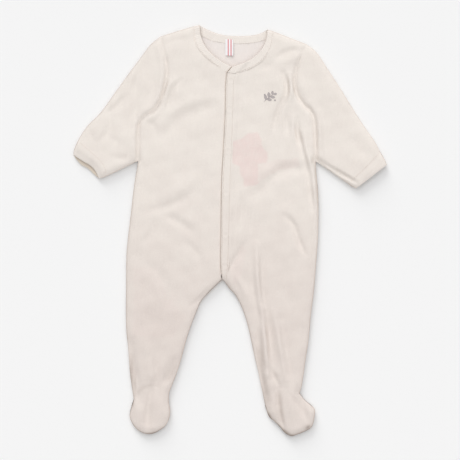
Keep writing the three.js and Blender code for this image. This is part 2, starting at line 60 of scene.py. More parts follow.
BODY = {
    "right": {
        "shoulder": [(-50, 278), (-72, 271.5), (-95, 264)],
        "armhole": [(-95, 264), (-90.5, 245.5), (-87, 229), (-86, 211.5), (-89, 195), (-94, 177.5),
                    (-104, 163), (-116.5, 155), (-123, 145), (-125, 130), (-125, 112), (-125, 95)],
        "side": [(-125, 95), (-127, 82.5), (-130.5, 62), (-134, 32), (-138, -2), (-141, -33.5),
                 (-141.5, -74), (-141.5, -128.5), (-138.5, -162.5), (-136, -196.5), (-131, -230)],
        "back_neck": [(-50, 278), (-42.5, 268.5), (-32, 262), (-19, 257.5), (-2.5, 255)],
        "inseam": [(-10, -67.5), (-17.5, -74), (-28.5, -85), (-39.5, -97), (-46, -112), (-53.5, -131),
                   (-60, -150.5), (-66.5, -175), (-73.5, -196.5), (-83, -221)],
    },
    "left": {
        "shoulder": [(58.5, 271.5), (81.5, 262.5), (104.5, 253.5)],
        "armhole": [(104.5, 253.5), (98.5, 241.5), (93, 228.5), (89, 213), (88.5, 198), (92.5, 183),
                    (101.5, 170), (110, 162.5), (114.5, 150.5), (116, 132.5), (116.5, 113.5),
                    (116.5, 94.5)],
        "side": [(116.5, 94.5), (117.5, 79.5), (119.5, 59), (120.5, 34.5), (120, -6), (117.5, -43),
                 (114, -85), (110, -116.5), (107, -149), (102.5, -179), (98, -210), (94.5, -221.5)],
        "back_neck": [(58.5, 271.5), (52.5, 263), (45, 259.5), (34, 256.5), (17.5, 255), (-2.5, 255)],
        "inseam": [(-10, -67.5), (-5.5, -72.5), (0, -80), (7, -87.5), (15, -102.5), (22, -121.5),
                   (28, -146), (33.5, -172), (39.5, -198), (48, -238.5)],
    },
}
NECK_POINT = {"right": (-41.5, 279.5), "left": (51, 273.5)}  # the binding's own end on the shoulder
BACK_CENTRE = [(-2.5, 255), (-4, 150), (-8, 20), (-10, -67.5)]
UNDERARM_SHARE = 0.3  # of the way from the shoulder to the ankle
BACK_NECK_SHARE = 0.117
SHOULDER_FADE = 9  # the shoulder's slope is soon lost in the straight rows below it
CROTCH_SHARE = 0.68
BACK_CREASES = [  # from x1, y1 to x2, y2, bowed to its left, each pressed up into the underside
    (-80, 190, -20, 150, 8, 5, 0.7), (70, 195, 20, 160, -8, 5, 0.6), (-110, 110, -55, 85, -5, 6, 0.8),
    (100, 105, 45, 80, 5, 6, 0.8), (-100, 40, -30, 25, 6, 7, 0.6), (95, 30, 25, 12, -6, 7, 0.7),
    (-115, -50, -60, -30, 5, 6, 0.7), (100, -45, 45, -25, -5, 6, 0.6), (-100, -100, -80, -190, 4, 6, 0.8),
    (60, -90, 75, -185, -4, 6, 0.8), (-40, -60, -75, -90, 0, 5, 0.6), (10, -90, 40, -120, 0, 5, 0.6),
]


def curve(points, fine=24):
    """A smooth line through the points, as a function of the share of its length. Each span is a cubic
    whose slope at either end is half the way between that end's two neighbours."""
    given = np.array(points, float)
    padded = np.vstack([given[:1], given, given[-1:]])
    a, b, c, d = (padded[i:len(padded) - 3 + i, None] for i in range(4))
    t = (np.arange(fine) / fine)[None, :, None]
    leave, arrive = (c - a) / 2, (d - b) / 2
    cubed = 2 * b - 2 * c + leave + arrive
    squared = 3 * c - 3 * b - 2 * leave - arrive
    line = cubed * t**3 + squared * t**2 + leave * t + b
    line = np.vstack([line.reshape(-1, 2), given[-1:]])
    run = np.concatenate([[0], np.cumsum(np.linalg.norm(np.diff(line, axis=0), axis=1))])

    def at(share):
        place = np.clip(share, 0, 1) * run[-1]
        return np.stack([np.interp(place, run, line[:, k]) for k in (0, 1)], -1)

    at.length = run[-1]
    return at


def border(*stretches):
    """Several curves end to end, each run at an even pace up to its own share of the way."""
    def at(share):
        share = np.asarray(share, float)
        point = np.zeros(share.shape + (2,))
        since = 0.0
        for line, until in stretches:
            here = share >= since
            point[here] = line((share[here] - since) / (until - since))
            since = until
        return point
    return at


def panel(s, t, outer, inner, first=None, last=None, fade=1):
    """Points of a panel: the share s of the way from the outer to the inner border at t, plus what its end
    curves add to a straight row, which fades along the panel as a power of the way."""
    s, t = np.meshgrid(s, t)
    share = s[..., None]
    point = outer(t) * (1 - share) + inner(t) * share
    start, end = np.zeros_like(t), np.ones_like(t)
    if first:
        point += (first(s) - outer(start) * (1 - share) - inner(start) * share) * (1 - t[..., None]) ** fade
    if last:
        point += (last(s) - outer(end) * (1 - share) - inner(end) * share) * t[..., None] ** fade
    return point


def crowded(count, share=0.3):
    """Shares from 0 to 1, closer together at both ends: part even steps, part a half cosine."""
    even = np.linspace(0, 1, count + 1)
    return even * (1 - share) + (1 - np.cos(np.pi * even)) / 2 * share


def broken_line(*curves, step=2.5):
    """Points about a step apart along curves end to end. A curve given as (curve, -1) is run backwards."""
    points = []
    for line, way in curves:
        shares = np.linspace(0, 1, max(3, int(line.length / step)))
        points.append(line(shares)[::way])
    joined = np.vstack(points)
    fresh = np.linalg.norm(np.diff(joined, axis=0), axis=1) > 1e-6
    return joined[np.concatenate([[True], fresh])]


def nearest(points, lines):
    """Distance from each point to the nearest of several broken lines, how far along that line it lies,
    and the way from the line to the point. On a line, or on its right hand, the distance is 0 and the way
    is its left hand."""
    start = np.vstack([line[:-1] for line in lines])
    way = np.vstack([np.diff(line, axis=0) for line in lines])
    length = np.linalg.norm(way, axis=1)
    run = np.concatenate([[0], np.cumsum(length)[:-1]])
    flat = points.reshape(-1, 2)
    found = []
    for some in np.array_split(flat, len(flat) * len(start) // 3_000_000 + 1):
        off = some[:, None] - start
        share = np.clip((off * way).sum(2) / length**2, 0, 1)
        off = off - share[..., None] * way
        square = (off**2).sum(2)
        best = square.argmin(1)
        pick = np.arange(len(some))
        off, share = off[pick, best], share[pick, best]
        near, along = np.sqrt(square[pick, best]), way[best] / length[best, None]
        left = np.stack([-along[:, 1], along[:, 0]], 1)
        beyond = (share > 0) & (share < 1) & ((left * off).sum(1) < 0)
        on_line = beyond | (near < 0.15)
        inward = np.where(on_line[:, None], left, off / np.maximum(near, 1e-9)[:, None])
        inside = np.where(on_line, 0, near - 0.15)
        found.append(np.column_stack([inside, run[best] + share * length[best], inward, near]))
    found = np.vstack(found).reshape(points.shape[:-1] + (5,))
    return found[..., 0], found[..., 1], found[..., 2:4], found[..., 4]


def folds(points, rows):
    """The height that folds add: for each row a bell across its bowed line, fuller halfway along it."""
    total = np.zeros(points.shape[:-1])
    for x1, y1, x2, y2, bow, width, height in rows:
        way = np.array([x2 - x1, y2 - y1], float)
        length = np.hypot(*way)
        off = points - (x1, y1)
        share = (off @ way) / length**2
        aside = (off[..., 1] * way[0] - off[..., 0] * way[1]) / length
        held = np.clip(share, 0, 1)
        across = aside - bow * 4 * held * (1 - held)
        past = (share - held) * length
        full = 0.35 + 0.65 * np.sin(np.pi * held)
        total += height * full * np.exp(-(across**2 + past**2) / width**2)
    return total


RIPPLES = [  # wave length, direction in degrees, start, height
    (61, 20, 0.3, 0.20), (43, 75, 1.9, 0.16), (33, 140, 4.0, 0.14), (24, 48, 2.2, 0.10),
    (19, 105, 5.1, 0.08), (14, 10, 0.9, 0.05), (11, 160, 3.3, 0.04),
]


def ripples(points):
    """A slight unevenness of hand-smoothed cloth: the sum of a few long, crossing waves."""
    total = np.zeros(points.shape[:-1])
    for long, turn, start, height in RIPPLES:
        way = np.array([math.cos(math.radians(turn)), math.sin(math.radians(turn))])
        total += height * np.sin(points @ way * 2 * math.pi / long + start)
    return total


def seam_dip(points, line, depth=0.9, width=2.2, swell=0.0):
    """The dip along a sewn line and the swell on either side of it: a bell across the line, less a wider
    one. It starts shallow and is soon at its full depth, which wanders a little along it."""
    _, run, _, near = nearest(points, [line])
    along = run / np.linalg.norm(np.diff(line, axis=0), axis=1).sum()
    held = np.clip((along - 0.05) / 0.3, 0, 1)
    strength = 0.4 + 0.6 * held**2 * (3 - 2 * held) + 0.12 * np.sin(run * 0.31) * np.sin(run * 0.13)
    dip = np.exp(-((near / width) ** 2))
    return strength * (swell * np.exp(-(((near - 2.4 * width) / (1.5 * width)) ** 2)) - depth * dip)


def heights(points, z):
    """Points with their height as a third coordinate."""
    return np.concatenate([points, z[..., None]], -1)


def lower_layer(points, edges, lift=0.0, wall=WALL, gap=SEAM_GAP, way=None):
    """The layer that lies on the table: a quarter round up to the seam height at the garment's edges. Lift
    presses creases up into it. Returns its outer, lower points and its inner ones."""
    inside, _, inward, _ = nearest(points, edges)
    share = np.clip(inside / BACK_ROLL, 0, 1)
    turned = np.sqrt(1 - (1 - share) ** 2)
    base = SEAM_HEIGHT - gap / 2
    inner = points + (inward if way is None else way) * (WALL * (1 - share))[..., None]
    outer_z = base * (1 - turned) + lift * turned
    inner_z = base + (wall + lift - base) * turned
    return heights(points, outer_z), heights(inner, inner_z)


def shell(name, sheets, materials, up, uv=None, tint=None):
    """A closed mesh from sheets of outer and inner points, welded where they share a border. Its border is
    joined by a rim. Materials are for the outside and the inside. Up says whether the outer side faces
    up."""
    outer = np.vstack([sheet[0].reshape(-1, 3) for sheet in sheets])
    inner = np.vstack([sheet[1].reshape(-1, 3) for sheet in sheets])
    quads, first = [], 0
    for sheet, faces_up in zip(sheets, up):
        rows, columns = sheet[0].shape[:2]
        index = np.arange(rows * columns).reshape(rows, columns) + first
        first += rows * columns
        quad = np.stack([index[:-1, :-1], index[:-1, 1:], index[1:, 1:], index[1:, :-1]], -1).reshape(-1, 4)
        row, column = np.diff(sheet[0][:, :, :2], axis=1)[:-1], np.diff(sheet[0][:, :, :2], axis=0)[:, :-1]
        turn = (row[..., 0] * column[..., 1] - row[..., 1] * column[..., 0]).sum()
        quads.append(quad if (turn > 0) == faces_up else quad[:, ::-1])
    _, kept, weld = np.unique(np.round(outer * 1e3), axis=0, return_index=True, return_inverse=True)
    weld = weld.reshape(-1)
    quads = weld[np.vstack(quads)]
    quads = quads[(quads[:, 0] != quads[:, 2]) & (quads[:, 1] != quads[:, 3])]
    count = len(kept)
    one, two = quads.reshape(-1), np.roll(quads, -1, axis=1).reshape(-1)
    free = ~np.isin(one * count + two, two * count + one)
    one, two = one[free], two[free]
    rim = np.stack([two, one, one + count, two + count], 1)
    faces = np.vstack([quads, quads[:, ::-1] + count, rim])
    points = np.vstack([outer[kept], inner[kept]])
    points[:, :2] += FRAME_SHIFT
    mesh = bpy.data.meshes.new(name)
    mesh.vertices.add(len(points))
    mesh.vertices.foreach_set("co", (points * 0.001).ravel())
    mesh.loops.add(faces.size)
    mesh.loops.foreach_set("vertex_index", faces.ravel().astype(np.int32))
    mesh.polygons.add(len(faces))
    mesh.polygons.foreach_set("loop_start", np.arange(len(faces), dtype=np.int32) * 4)
    for material in materials:
        mesh.materials.append(material)
    lining = np.zeros(len(faces), np.int32)
    lining[len(quads):2 * len(quads)] = len(materials) - 1
    mesh.polygons.foreach_set("material_index", lining)
    laid = np.vstack([u.reshape(-1, 2) for u in uv])[kept] if uv else points[:count, :2]
    layer = mesh.uv_layers.new(name="laid")
    layer.data.foreach_set("uv", (np.vstack([laid, laid]) * 0.001)[faces.ravel()].ravel())
    for attribute, values in (tint or {}).items():
        mark = mesh.attributes.new(attribute, "FLOAT", "POINT")
        mark.data.foreach_set("value", np.tile(values.ravel()[kept], 2))
    mesh.update(calc_edges=True)
    mesh.validate()
    mesh.polygons.foreach_set("use_smooth", np.ones(len(mesh.polygons), bool))
    mesh.set_sharp_from_angle(angle=math.radians(55))
    piece = bpy.data.objects.new(name, mesh)
    bpy.context.collection.objects.link(piece)
    return piece


def add(tree, kind, inputs=None, **settings):
    """A node with its settings, its inputs set to values or joined to the outputs given."""
    made = tree.nodes.new(kind)
    for key, value in settings.items():
        setattr(made, key, value)
    for key, value in (inputs or {}).items():
        if isinstance(value, bpy.types.NodeSocket):
            tree.links.new(value, made.inputs[key])
        else:
            made.inputs[key].default_value = value
    return made


def blend(tree, share, one, two, mode="MIX"):
    """One colour changing to another by a share from 0 to 1."""
    mixed = add(tree, "ShaderNodeMix", data_type="RGBA", blend_type=mode)
    for socket, value in ((mixed.inputs[0], share), (mixed.inputs[6], one), (mixed.inputs[7], two)):
        if isinstance(value, bpy.types.NodeSocket):
            tree.links.new(value, socket)
        else:
            socket.default_value = value
    return mixed.outputs[2]


def noise(tree, place, scale, detail=2.0, roughness=0.5):
    """Cloudy noise from 0 to 1, its scale in clouds a metre."""
    inputs = {"Vector": place, "Scale": scale, "Detail": detail, "Roughness": roughness}
    return add(tree, "ShaderNodeTexNoise", inputs).outputs[0]


def ranged(tree, value, low, high, to_low=0.0, to_high=1.0, **settings):
    """A value's way from low to high, as a value from to_low to to_high, held at both ends."""
    inputs = {"Value": value, "From Min": low, "From Max": high, "To Min": to_low, "To Max": to_high}
    return add(tree, "ShaderNodeMapRange", inputs, **settings).outputs[0]


def joined(tree, one, two, operation="ADD"):
    """Two values added, or joined by another operation."""
    return add(tree, "ShaderNodeMath", {0: one, 1: two}, operation=operation).outputs[0]


def times(tree, colour, tone):
    """A colour multiplied by a tone or a value."""
    return blend(tree, 1.0, colour, tone, "MULTIPLY")


# Painted shade: where cloth bends steeply over an edge it is coloured deeper, standing in for the dark rims
# and creases, less so on the sleeves
STEEP_SHADE = (0.78, 0.71, 0.66, 1)
FAINT_STEEP_SHADE = (0.93, 0.89, 0.86, 1)
BENT_FROM, BENT_TO = 0.85, 0.3  # how far such cloth still faces up or down
PAINTED_LIGHT_WAY = (0.64, -0.77, 0.0)  # the way of a painted light: cloth that slopes towards it is painted paler, cloth that slopes away painted deeper
PAINTED_LIGHT_DEPTH = 0.38
PAINTED_LIGHT_HIGHEST = 0.55  # cloth that slopes further towards the painted light grows no paler
LEG_SHADE = (0.915, 0.89, 0.893, 1)  # painted shade: the ankles' colour beside the chest's, for the light that falls off down the legs
LEG_SHADE_FROM, LEG_SHADE_TO = 0.13, -0.16  # metres up from the middle, where the painted shade starts and is full
PATCH_SCALE, BLOT_SCALE = 46.0, 140.0


def cloth_material(name, pale, deep, grain, relief, sheen=0.0, marks=(), wale=0.0, steep_shade=STEEP_SHADE):
    """Cloth: two close shades in soft patches, a finer grain that also lifts the surface, and fine
    lengthwise wales. Painted shade makes the legs a little deeper in colour than the chest, and deepens
    cloth that bends sharply; painted light and shade make cloth paler where it slopes towards the
    painted light's way and deeper where it slopes away. Each mark is the name of an attribute and the
    colour that it multiplies the cloth by."""
    material = bpy.data.materials.new(name)
    material.use_nodes = True
    tree = material.node_tree
    shader = tree.nodes["Principled BSDF"]
    place = add(tree, "ShaderNodeTexCoord").outputs["Object"]
    patches = noise(tree, place, PATCH_SCALE, 4.0, 0.6)
    pile = noise(tree, place, grain, 3.0, 0.65)
    drawn = add(tree, "ShaderNodeMapping", {"Vector": place, "Scale": (1.0, 0.16, 1.0)}).outputs[0]
    streaks = noise(tree, drawn, grain * 0.45)
    colour = blend(tree, ranged(tree, patches, 0.3, 0.7), pale, deep)
    # painted shade: deeper down the legs
    upwards = add(tree, "ShaderNodeSeparateXYZ", {"Vector": place}).outputs["Y"]
    leg_shade = ranged(tree, upwards, LEG_SHADE_FROM, LEG_SHADE_TO, interpolation_type="SMOOTHSTEP")
    colour = blend(tree, leg_shade, colour, times(tree, colour, LEG_SHADE))
    colour = times(tree, colour, ranged(tree, pile, 0.3, 0.7, 0.955, 1.03))
    # painted light and shade: cloth is coloured paler where it faces towards the wearer's left and the
    # feet, deeper where it faces away
    facing = add(tree, "ShaderNodeNewGeometry").outputs["Normal"]
    slope = add(tree, "ShaderNodeVectorMath", {0: facing, 1: PAINTED_LIGHT_WAY}, operation="DOT_PRODUCT")
    towards_painted_light = slope.outputs["Value"]
    palest = 1 + PAINTED_LIGHT_HIGHEST * PAINTED_LIGHT_DEPTH
    colour = times(tree, colour, ranged(tree, towards_painted_light, -1.0, PAINTED_LIGHT_HIGHEST, 1 - PAINTED_LIGHT_DEPTH, palest))
    # painted shade: the more steeply cloth faces sideways, the deeper it is coloured
    facing_up = add(tree, "ShaderNodeSeparateXYZ", {"Vector": facing}).outputs["Z"]
    level = joined(tree, facing_up, 0.0, "ABSOLUTE")
    bent = ranged(tree, level, BENT_FROM, BENT_TO)
    colour = blend(tree, bent, colour, times(tree, colour, steep_shade))
    for attribute, tone in marks:
        mark = add(tree, "ShaderNodeAttribute", attribute_name=attribute).outputs["Fac"]
        blotted = ranged(tree, noise(tree, place, BLOT_SCALE, 3.0), 0.35, 0.65, 0.75, 1.0)
        colour = blend(tree, joined(tree, mark, blotted, "MULTIPLY"), colour, times(tree, colour, tone))
    tree.links.new(colour, shader.inputs["Base Color"])
    tree.links.new(ranged(tree, pile, 0.0, 1.0, 0.82, 1.0), shader.inputs["Roughness"])
    height = joined(tree, pile, streaks)
    if wale:
        across = add(tree, "ShaderNodeUVMap", uv_map="laid").outputs[0]
        inputs = {"Vector": across, "Scale": wale, "Distortion": 0.6, "Detail": 1.0}
        rib = add(tree, "ShaderNodeTexWave", inputs, wave_type="BANDS", bands_direction="X")
        height = joined(tree, height, rib.outputs["Fac"])
    bump = add(tree, "ShaderNodeBump", {"Height": height, "Strength": 0.5, "Distance": relief})
    tree.links.new(bump.outputs[0], shader.inputs["Normal"])
    shader.inputs["Specular IOR Level"].default_value = 0.15
    shader.inputs["Sheen Weight"].default_value = sheen
    shader.inputs["Sheen Roughness"].default_value = 0.55
    return material


IVORY_PALE = (0.858, 0.798, 0.741, 1)
IVORY_DEEP = (0.828, 0.762, 0.708, 1)
# marks: the pink stain, with a faint ring of painted shade beside it, and a brown painted shade for shaded
# creases and rims
MARKS = [("stain", (1.0, 0.91, 0.925, 1)), ("soil", (0.42, 0.375, 0.34, 1))]
PILE = {"grain": 900, "relief": 0.0004, "sheen": 0.05}
KNIT_PALE, KNIT_DEEP = (0.88, 0.82, 0.785, 1), (0.85, 0.785, 0.75, 1)
velour = cloth_material("velour", IVORY_PALE, IVORY_DEEP, steep_shade=FAINT_STEEP_SHADE, **PILE)
marked_velour = cloth_material("marked_velour", IVORY_PALE, IVORY_DEEP, marks=MARKS, **PILE)
inside_knit = cloth_material("inside_knit", KNIT_PALE, KNIT_DEEP, grain=1500, relief=0.0003, wale=170)

body = {name: {key: curve(points) for key, points in side.items()} for name, side in BODY.items()}
neck_tops = {name: curve([NECK_POINT[name], BODY[name]["shoulder"][0]]) for name in BODY}


def shoulder_rows(side):
    """The shoulder seam as a row's end curve, from the armhole to the neck."""
    return lambda s: body[side]["shoulder"](1 - s)


def pressed_up(points, side):
    """How far the underside is pressed up off the table: its creases, a little of the ripples, and the
    grooves that the armhole and heel seams pull into it."""
    lift = folds(points, BACK_CREASES) + 0.15 * np.maximum(ripples(points), 0)
    heel = curve([BODY[side]["side"][-1], BODY[side]["inseam"][-1]])
    for seam in (body[side]["armhole"], heel):
        lift -= seam_dip(points, broken_line((seam, 1)), depth=0.7, width=1.6)
    return lift


# The edges run with the cloth on their left hand, past the feet as well, so that the ankles have none
ANKLES = {"right": [(-131, -230), (-134.5, -241.5)], "left": [(102, -231), (94.5, -221.5)]}
body_edges = [
    broken_line((body["right"]["side"], 1), (curve(ANKLES["right"]), 1)),
    broken_line((body["right"]["inseam"], -1), (body["left"]["inseam"], 1)),
    broken_line((curve(ANKLES["left"]), 1), (body["left"]["side"], -1)),
    broken_line((neck_tops["right"], 1), (body["right"]["shoulder"], 1)),
    broken_line((body["left"]["shoulder"], -1), (neck_tops["left"], -1)),
]
back_sheets = []
back_rows = np.concatenate([np.linspace(0, CROTCH_SHARE, 150), np.linspace(CROTCH_SHARE, 1, 72)])
for side in ("right", "left"):
    cut = body[side]
    centre = (curve(BACK_CENTRE), CROTCH_SHARE)
    points = panel(
        crowded(52), np.unique(back_rows),
        outer=border((cut["armhole"], UNDERARM_SHARE), (cut["side"], 1)),
        inner=border((cut["back_neck"], BACK_NECK_SHARE), centre, (cut["inseam"], 1)),
        first=shoulder_rows(side), fade=SHOULDER_FADE)
    back_sheets.append(lower_layer(points, body_edges, lift=pressed_up(points, side)))
back = shell("back_cloth", back_sheets, [velour, inside_knit], up=[False, False])
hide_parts("back")
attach(back, "root")

# Fronts
# Two pieces of velour, shoulder to instep, one for each side. The right one runs on under the placket as
# the lap that carries the snaps' lower halves. The left one shows a faded pink stain under the chest.
FOLD_LOWEST, FOLD_HIGHEST = -3.2, 3.6
LAP_DROP = 2.7  # the right front lies this much lower under the placket
PLACKET_RISE = 1.2
PLACKET_WIDTH = 12.0
FRONT = {
    "right": {
        "neck": [(-50, 278), (-48.5, 264.5), (-45, 251.5), (-36.5, 239.5), (-23, 228), (-5, 216),
                 (6, 210)],
        "centre": [(6, 210), (5, 165), (3, 112), (1, 43), (-0.5, 0), (-2, -33.5), (-3.5, -52), (-12, -60),
                   (-11.2, -66.5)],
        "inseam": [(-11.5, -66), (-19, -73.5), (-29.5, -83.5), (-40.5, -96.5), (-47, -112), (-54, -131),
                   (-60, -150.5), (-66.5, -175), (-73.5, -196.5), (-83, -221)],
        "instep": [(-131, -230), (-126.5, -220.5), (-118.5, -214), (-106, -212), (-94, -215), (-83, -221)],
    },
    "left": {
        "neck": [(58.5, 271.5), (57, 255), (50.5, 239.5), (38, 226.5), (23, 218.5), (8.5, 213.8)],
        "centre": [(8.5, 213.8), (6.5, 199), (5.5, 165), (3.5, 112), (1, 43), (-1, -33.5), (-3.5, -60),
                   (-5.5, -72.5)],
        "inseam": [(-5.5, -72.5), (0, -80), (7, -87.5), (15, -102.5), (22, -121.5), (28, -146),
                   (33.5, -172), (39.5, -198), (48, -238.5)],
        "instep": [(94.5, -221.5), (84.5, -216), (72, -213.5), (60, -217), (51.5, -226.5), (48, -238.5)],
    },
}
FRONT_NECK_SHARE = 0.215
PLACKET_EDGE = [(-3.5, 215), (-5.5, 199), (-6, 165), (-8.5, 112), (-10.5, 78), (-11.5, 43), (-12, 0.5),
                (-12.5, -33.5), (-12, -53.5), (-10.5, -66)]
OVER_NECK = [(3.5, 223), (9, 229)]  # at the neck the free edge turns aside, over the right binding's end
FRONT_FOLDS = [
    # right chest: a broad trough from the placket to the side, the ridge over it, and a pair at the armhole
    (-24, 168, -98, 121, -9, 10, -2.0), (-26, 181, -98, 138, -11, 8, 1.1),
    (-68, 204, -84, 168, -3, 3.5, -1.6), (-76, 206, -91, 174, -3, 3.5, 1.0),
    (-91, 240, -95, 176, -4, 4, 0.9), (-93, 256, -58, 262, 0, 6, -1.0), (-112, 150, -100, 128, 3, 5, -1.2),
    # right waist and hip
    (-38, 72, -101, 42, 0, 8, 0.9), (-52, 52, -108, 26, 4, 6, -1.6), (-90, 21, -50, -3, 2, 6, -1.7),
    (-60, -17, -40, -42, 3, 6, -1.7), (-100, 8, -118, -20, 0, 7, -1.0),
    # right thigh and shin
    (-109, -47, -86, -112, 12, 9, -1.5), (-22, -74, -54, -103, 2, 4, -1.4),
    (-130, -118, -75, -128, 0, 12, -0.8), (-96, -70, -70, -120, -6, 10, 0.9),
    (-134, -150, -122, -222, -3, 6, -3.2), (-116, -150, -106, -206, 0, 8, 1.8),
    (-101, -182, -98, -222, 0, 4, -1.8), (-76, -178, -93, -210, 3, 5, -2.4),
    (-84, -172, -100, -196, 0, 5, 1.0),
    # left chest: two deep creases from the shoulder, and the ridges beside them
    (73, 214, 74, 176, 4, 3.6, -3.0), (73, 178, 60, 140, -2, 4, -2.8), (80, 212, 80, 172, 3, 4, 1.8),
    (66, 205, 66, 180, 2, 4, 0.8), (77, 160, 79, 132, 0, 4, -1.8), (86, 152, 87, 120, 0, 5, 0.9),
    (66, 237, 95, 246, 2, 5, -1.9), (66, 228, 94, 236, 0, 5, 0.9), (60, 226, 40, 219, 0, 5, -0.8),
    # down the left side
    (92, 152, 95, 120, -2, 3.4, -3.2), (93, 136, 107, 78, -1, 4, -1.6), (99, 134, 113, 76, -1, 4, 2.8),
    (107, 80, 112, 30, 0, 4, -2.4), (112.5, 80, 117, 30, 0, 4, 2.6), (102, 148, 104, 118, 0, 4, 0.8),
    # left waist and hip
    (97, 84, 56, 70, -6, 8, -2.6), (58, 71, 34, 50, 2, 8, -1.6), (98, 99, 40, 68, -10, 8, 0.9),
    (80, 70, 44, 44, -4, 7, 0.2), (17, 49, 15, 6, 0, 4, -1.6), (28, 22, 30, -8, 0, 5, -1.0),
    (76, 20, 91, -4, 2, 4, -2.6), (90, -2, 102, -32, -1, 4, -3.0),
    # left crotch and leg: long ridges with deep troughs beside them down to the ankle
    (20, -18, 4, -46, 0, 4, -2.0), (4, -44, -8, -55, 0, 4, -1.2), (5, -58, 24, -94, 2, 4, 1.6),
    (36, -18, 43, -108, -2, 4.2, 3.2), (43, -106, 52, -196, 0, 4.2, 3.2), (44, -40, 50, -112, -3, 5, -2.0),
    (51, -112, 60, -186, 0, 5, -2.6), (30, -60, 40, -120, -2, 4, -1.2), (38, -136, 46, -190, -2, 4, -2.2),
    (54, -188, 67, -212, 0, 4, -2.8), (60, -112, 76, -202, 0, 4.6, 2.4), (70, -120, 84, -206, 0, 5, -1.5),
    (38, -168, 51, -232, -2, 4.5, -3.0), (70, -40, 78, -110, 0, 9, -0.8),
    # over the insteps, on to the feet
    (-105, -206, -111, -237, 0, 4.5, -1.6), (-95, -214, -95, -262, 0, 8, 0.6),
    (-133, -206, -122, -236, 0, 4, -2.0), (64, -212, 68, -248, 0, 4, -3.0),
    (93, -214, 106, -256, 0, 4.5, -2.0), (80, -206, 86, -268, 0, 8, 2.2),
]
# At the neck's two points the layers lie close, and down the sides the seams show on the front
NECK_POINTS = [(-50, 280, -42, 255, 0, 9, -2.4), (57, 275, 52, 252, 0, 8, -1.2)]
SIDE_LINES = [(-116, 95, -128, -60, -4, 1.6, -0.5), (111, 90, 112, -60, 2, 1.6, -0.4)]
STAINS_AND_SHADE = [  # strength, and the outline, run round to the left
    (1.0, [(26, 132), (14, 125), (3, 121), (3, 93), (13, 86), (20, 59), (30, 61), (39, 65), (39, 89),
           (50, 92), (51, 106), (45, 113), (38, 133)]),
    # partly painted shade: a faint lilac ring over the waist trough beside the stain, part stain tint and
    # part the trough's shade
    (0.35, [(38, 88), (40, 66), (62, 80), (94, 88), (94, 98), (66, 97)]),
    (0.13, [(-130, -50), (-132, -142), (-78, -146), (-60, -118), (-84, -92), (-98, -52)]),
    (0.2, [(-1, -56), (8, -74), (15, -60), (23, -27), (17, -20), (8, -37)]),
]
STAIN_SOFT = 3.0
# Painted shade: the deeper brown of shaded creases and rims at the ankles, feet and crotch, and faintly
# over the right calf
PAINTED_SHADE_ROWS = [  # from x1, y1 to x2, y2, bow, width and strength, as for folds
    # right ankle: down the outer edge, a small tuck under it, over the instep, and the inner edge
    (-134, -170, -133, -226, -1, 3.4, 0.50), (-129, -190, -129, -224, 0, 1.6, 0.30),
    (-133, -231, -133, -240, 0, 2, 0.6), (-128, -224, -108, -211, 3, 3.0, 0.20),
    (-73, -180, -86, -206, 2, 3.5, 0.20),
    # left ankle: down the inner edge and into the foot's long crease
    (38, -158, 47, -206, -1, 3.5, 0.32), (47, -204, 52, -240, -1, 6, 0.36),
    (66, -222, 72, -262, 0, 2.8, 0.40), (57, -232, 66, -262, 0, 6, 0.08),
    (50, -246, 55, -256, 0, 2.4, 0.7), (102, -269, 110, -266, 0, 2.6, 0.7),
    # crotch, and the whole right calf faintly
    (-9, -64, -36, -92, 0, 2.2, 0.30), (-108, -95, -98, -175, 0, 26, 0.06),
]
TOE_PAINTED_SHADE_ROWS = [  # the same painted shade, along the shaded rims under both toes
    (-136, -262, -98, -277, -9, 2.6, 1.0), (-124, -277, -88, -268, -5, 2.6, 1.0),
    (53, -254, 86, -281, -2, 2.6, 1.0), (80, -281, 110, -270, -2, 2.6, 1.0),
]


def upper_layer(points, edges, lift=0.0, wall=WALL, gap=SEAM_GAP, way=None):
    """The layer that lies on top: a quarter round from the seam height up to the laid height plus its
    lift. Returns its outer, upper points and its inner ones."""
    inside, _, inward, _ = nearest(points, edges)
    share = np.clip(inside / FRONT_ROLL, 0, 1)
    turned = np.sqrt(1 - (1 - share) ** 2)
    base = SEAM_HEIGHT + gap / 2
    rise = LAID - base + np.clip(lift, FOLD_LOWEST, FOLD_HIGHEST)
    inner = points + (inward if way is None else way) * (WALL * (1 - share))[..., None]
    outer_z = base + rise * turned
    inner_z = base + (rise - wall) * turned
    return heights(points, outer_z), heights(inner, inner_z)


def smooth(share):
    """A step from 0 to 1 with level ends: three times the share's square less twice its cube."""
    held = np.clip(share, 0, 1)
    return held**2 * (3 - 2 * held)


placket_free = curve(PLACKET_EDGE)
placket_line = np.vstack([placket_free(np.linspace(1, 0, 60)), OVER_NECK])


def past_placket(points):
    """How far a point lies past the placket's free edge, towards the wearer's left."""
    return points[..., 0] - np.interp(points[..., 1], placket_line[:, 1], placket_line[:, 0])


def under_lap(points, before=2.4, after=1.4):
    """A smooth step from 0 before the placket's free edge to 1 after it, where the right front lies
    low."""
    return smooth((past_placket(points) + before) / (before + after))


def towards_placket(points, ramp=7.0):
    """How far the left side rises to meet the placket: in full beside it, less a smooth step away from
    it."""
    return PLACKET_RISE * (1 - smooth((past_placket(points) - PLACKET_WIDTH) / ramp))


def within(points, ring):
    """Whether points lie inside a ring: a line from such a point to the right crosses it an odd number of
    times."""
    x, y = points[..., 0], points[..., 1]
    inside = np.zeros(x.shape, bool)
    for (x1, y1), (x2, y2) in zip(ring, np.roll(ring, -1, axis=0)):
        if y1 != y2:
            inside ^= ((y1 > y) != (y2 > y)) & (x < x1 + (y - y1) * (x2 - x1) / (y2 - y1))
    return inside


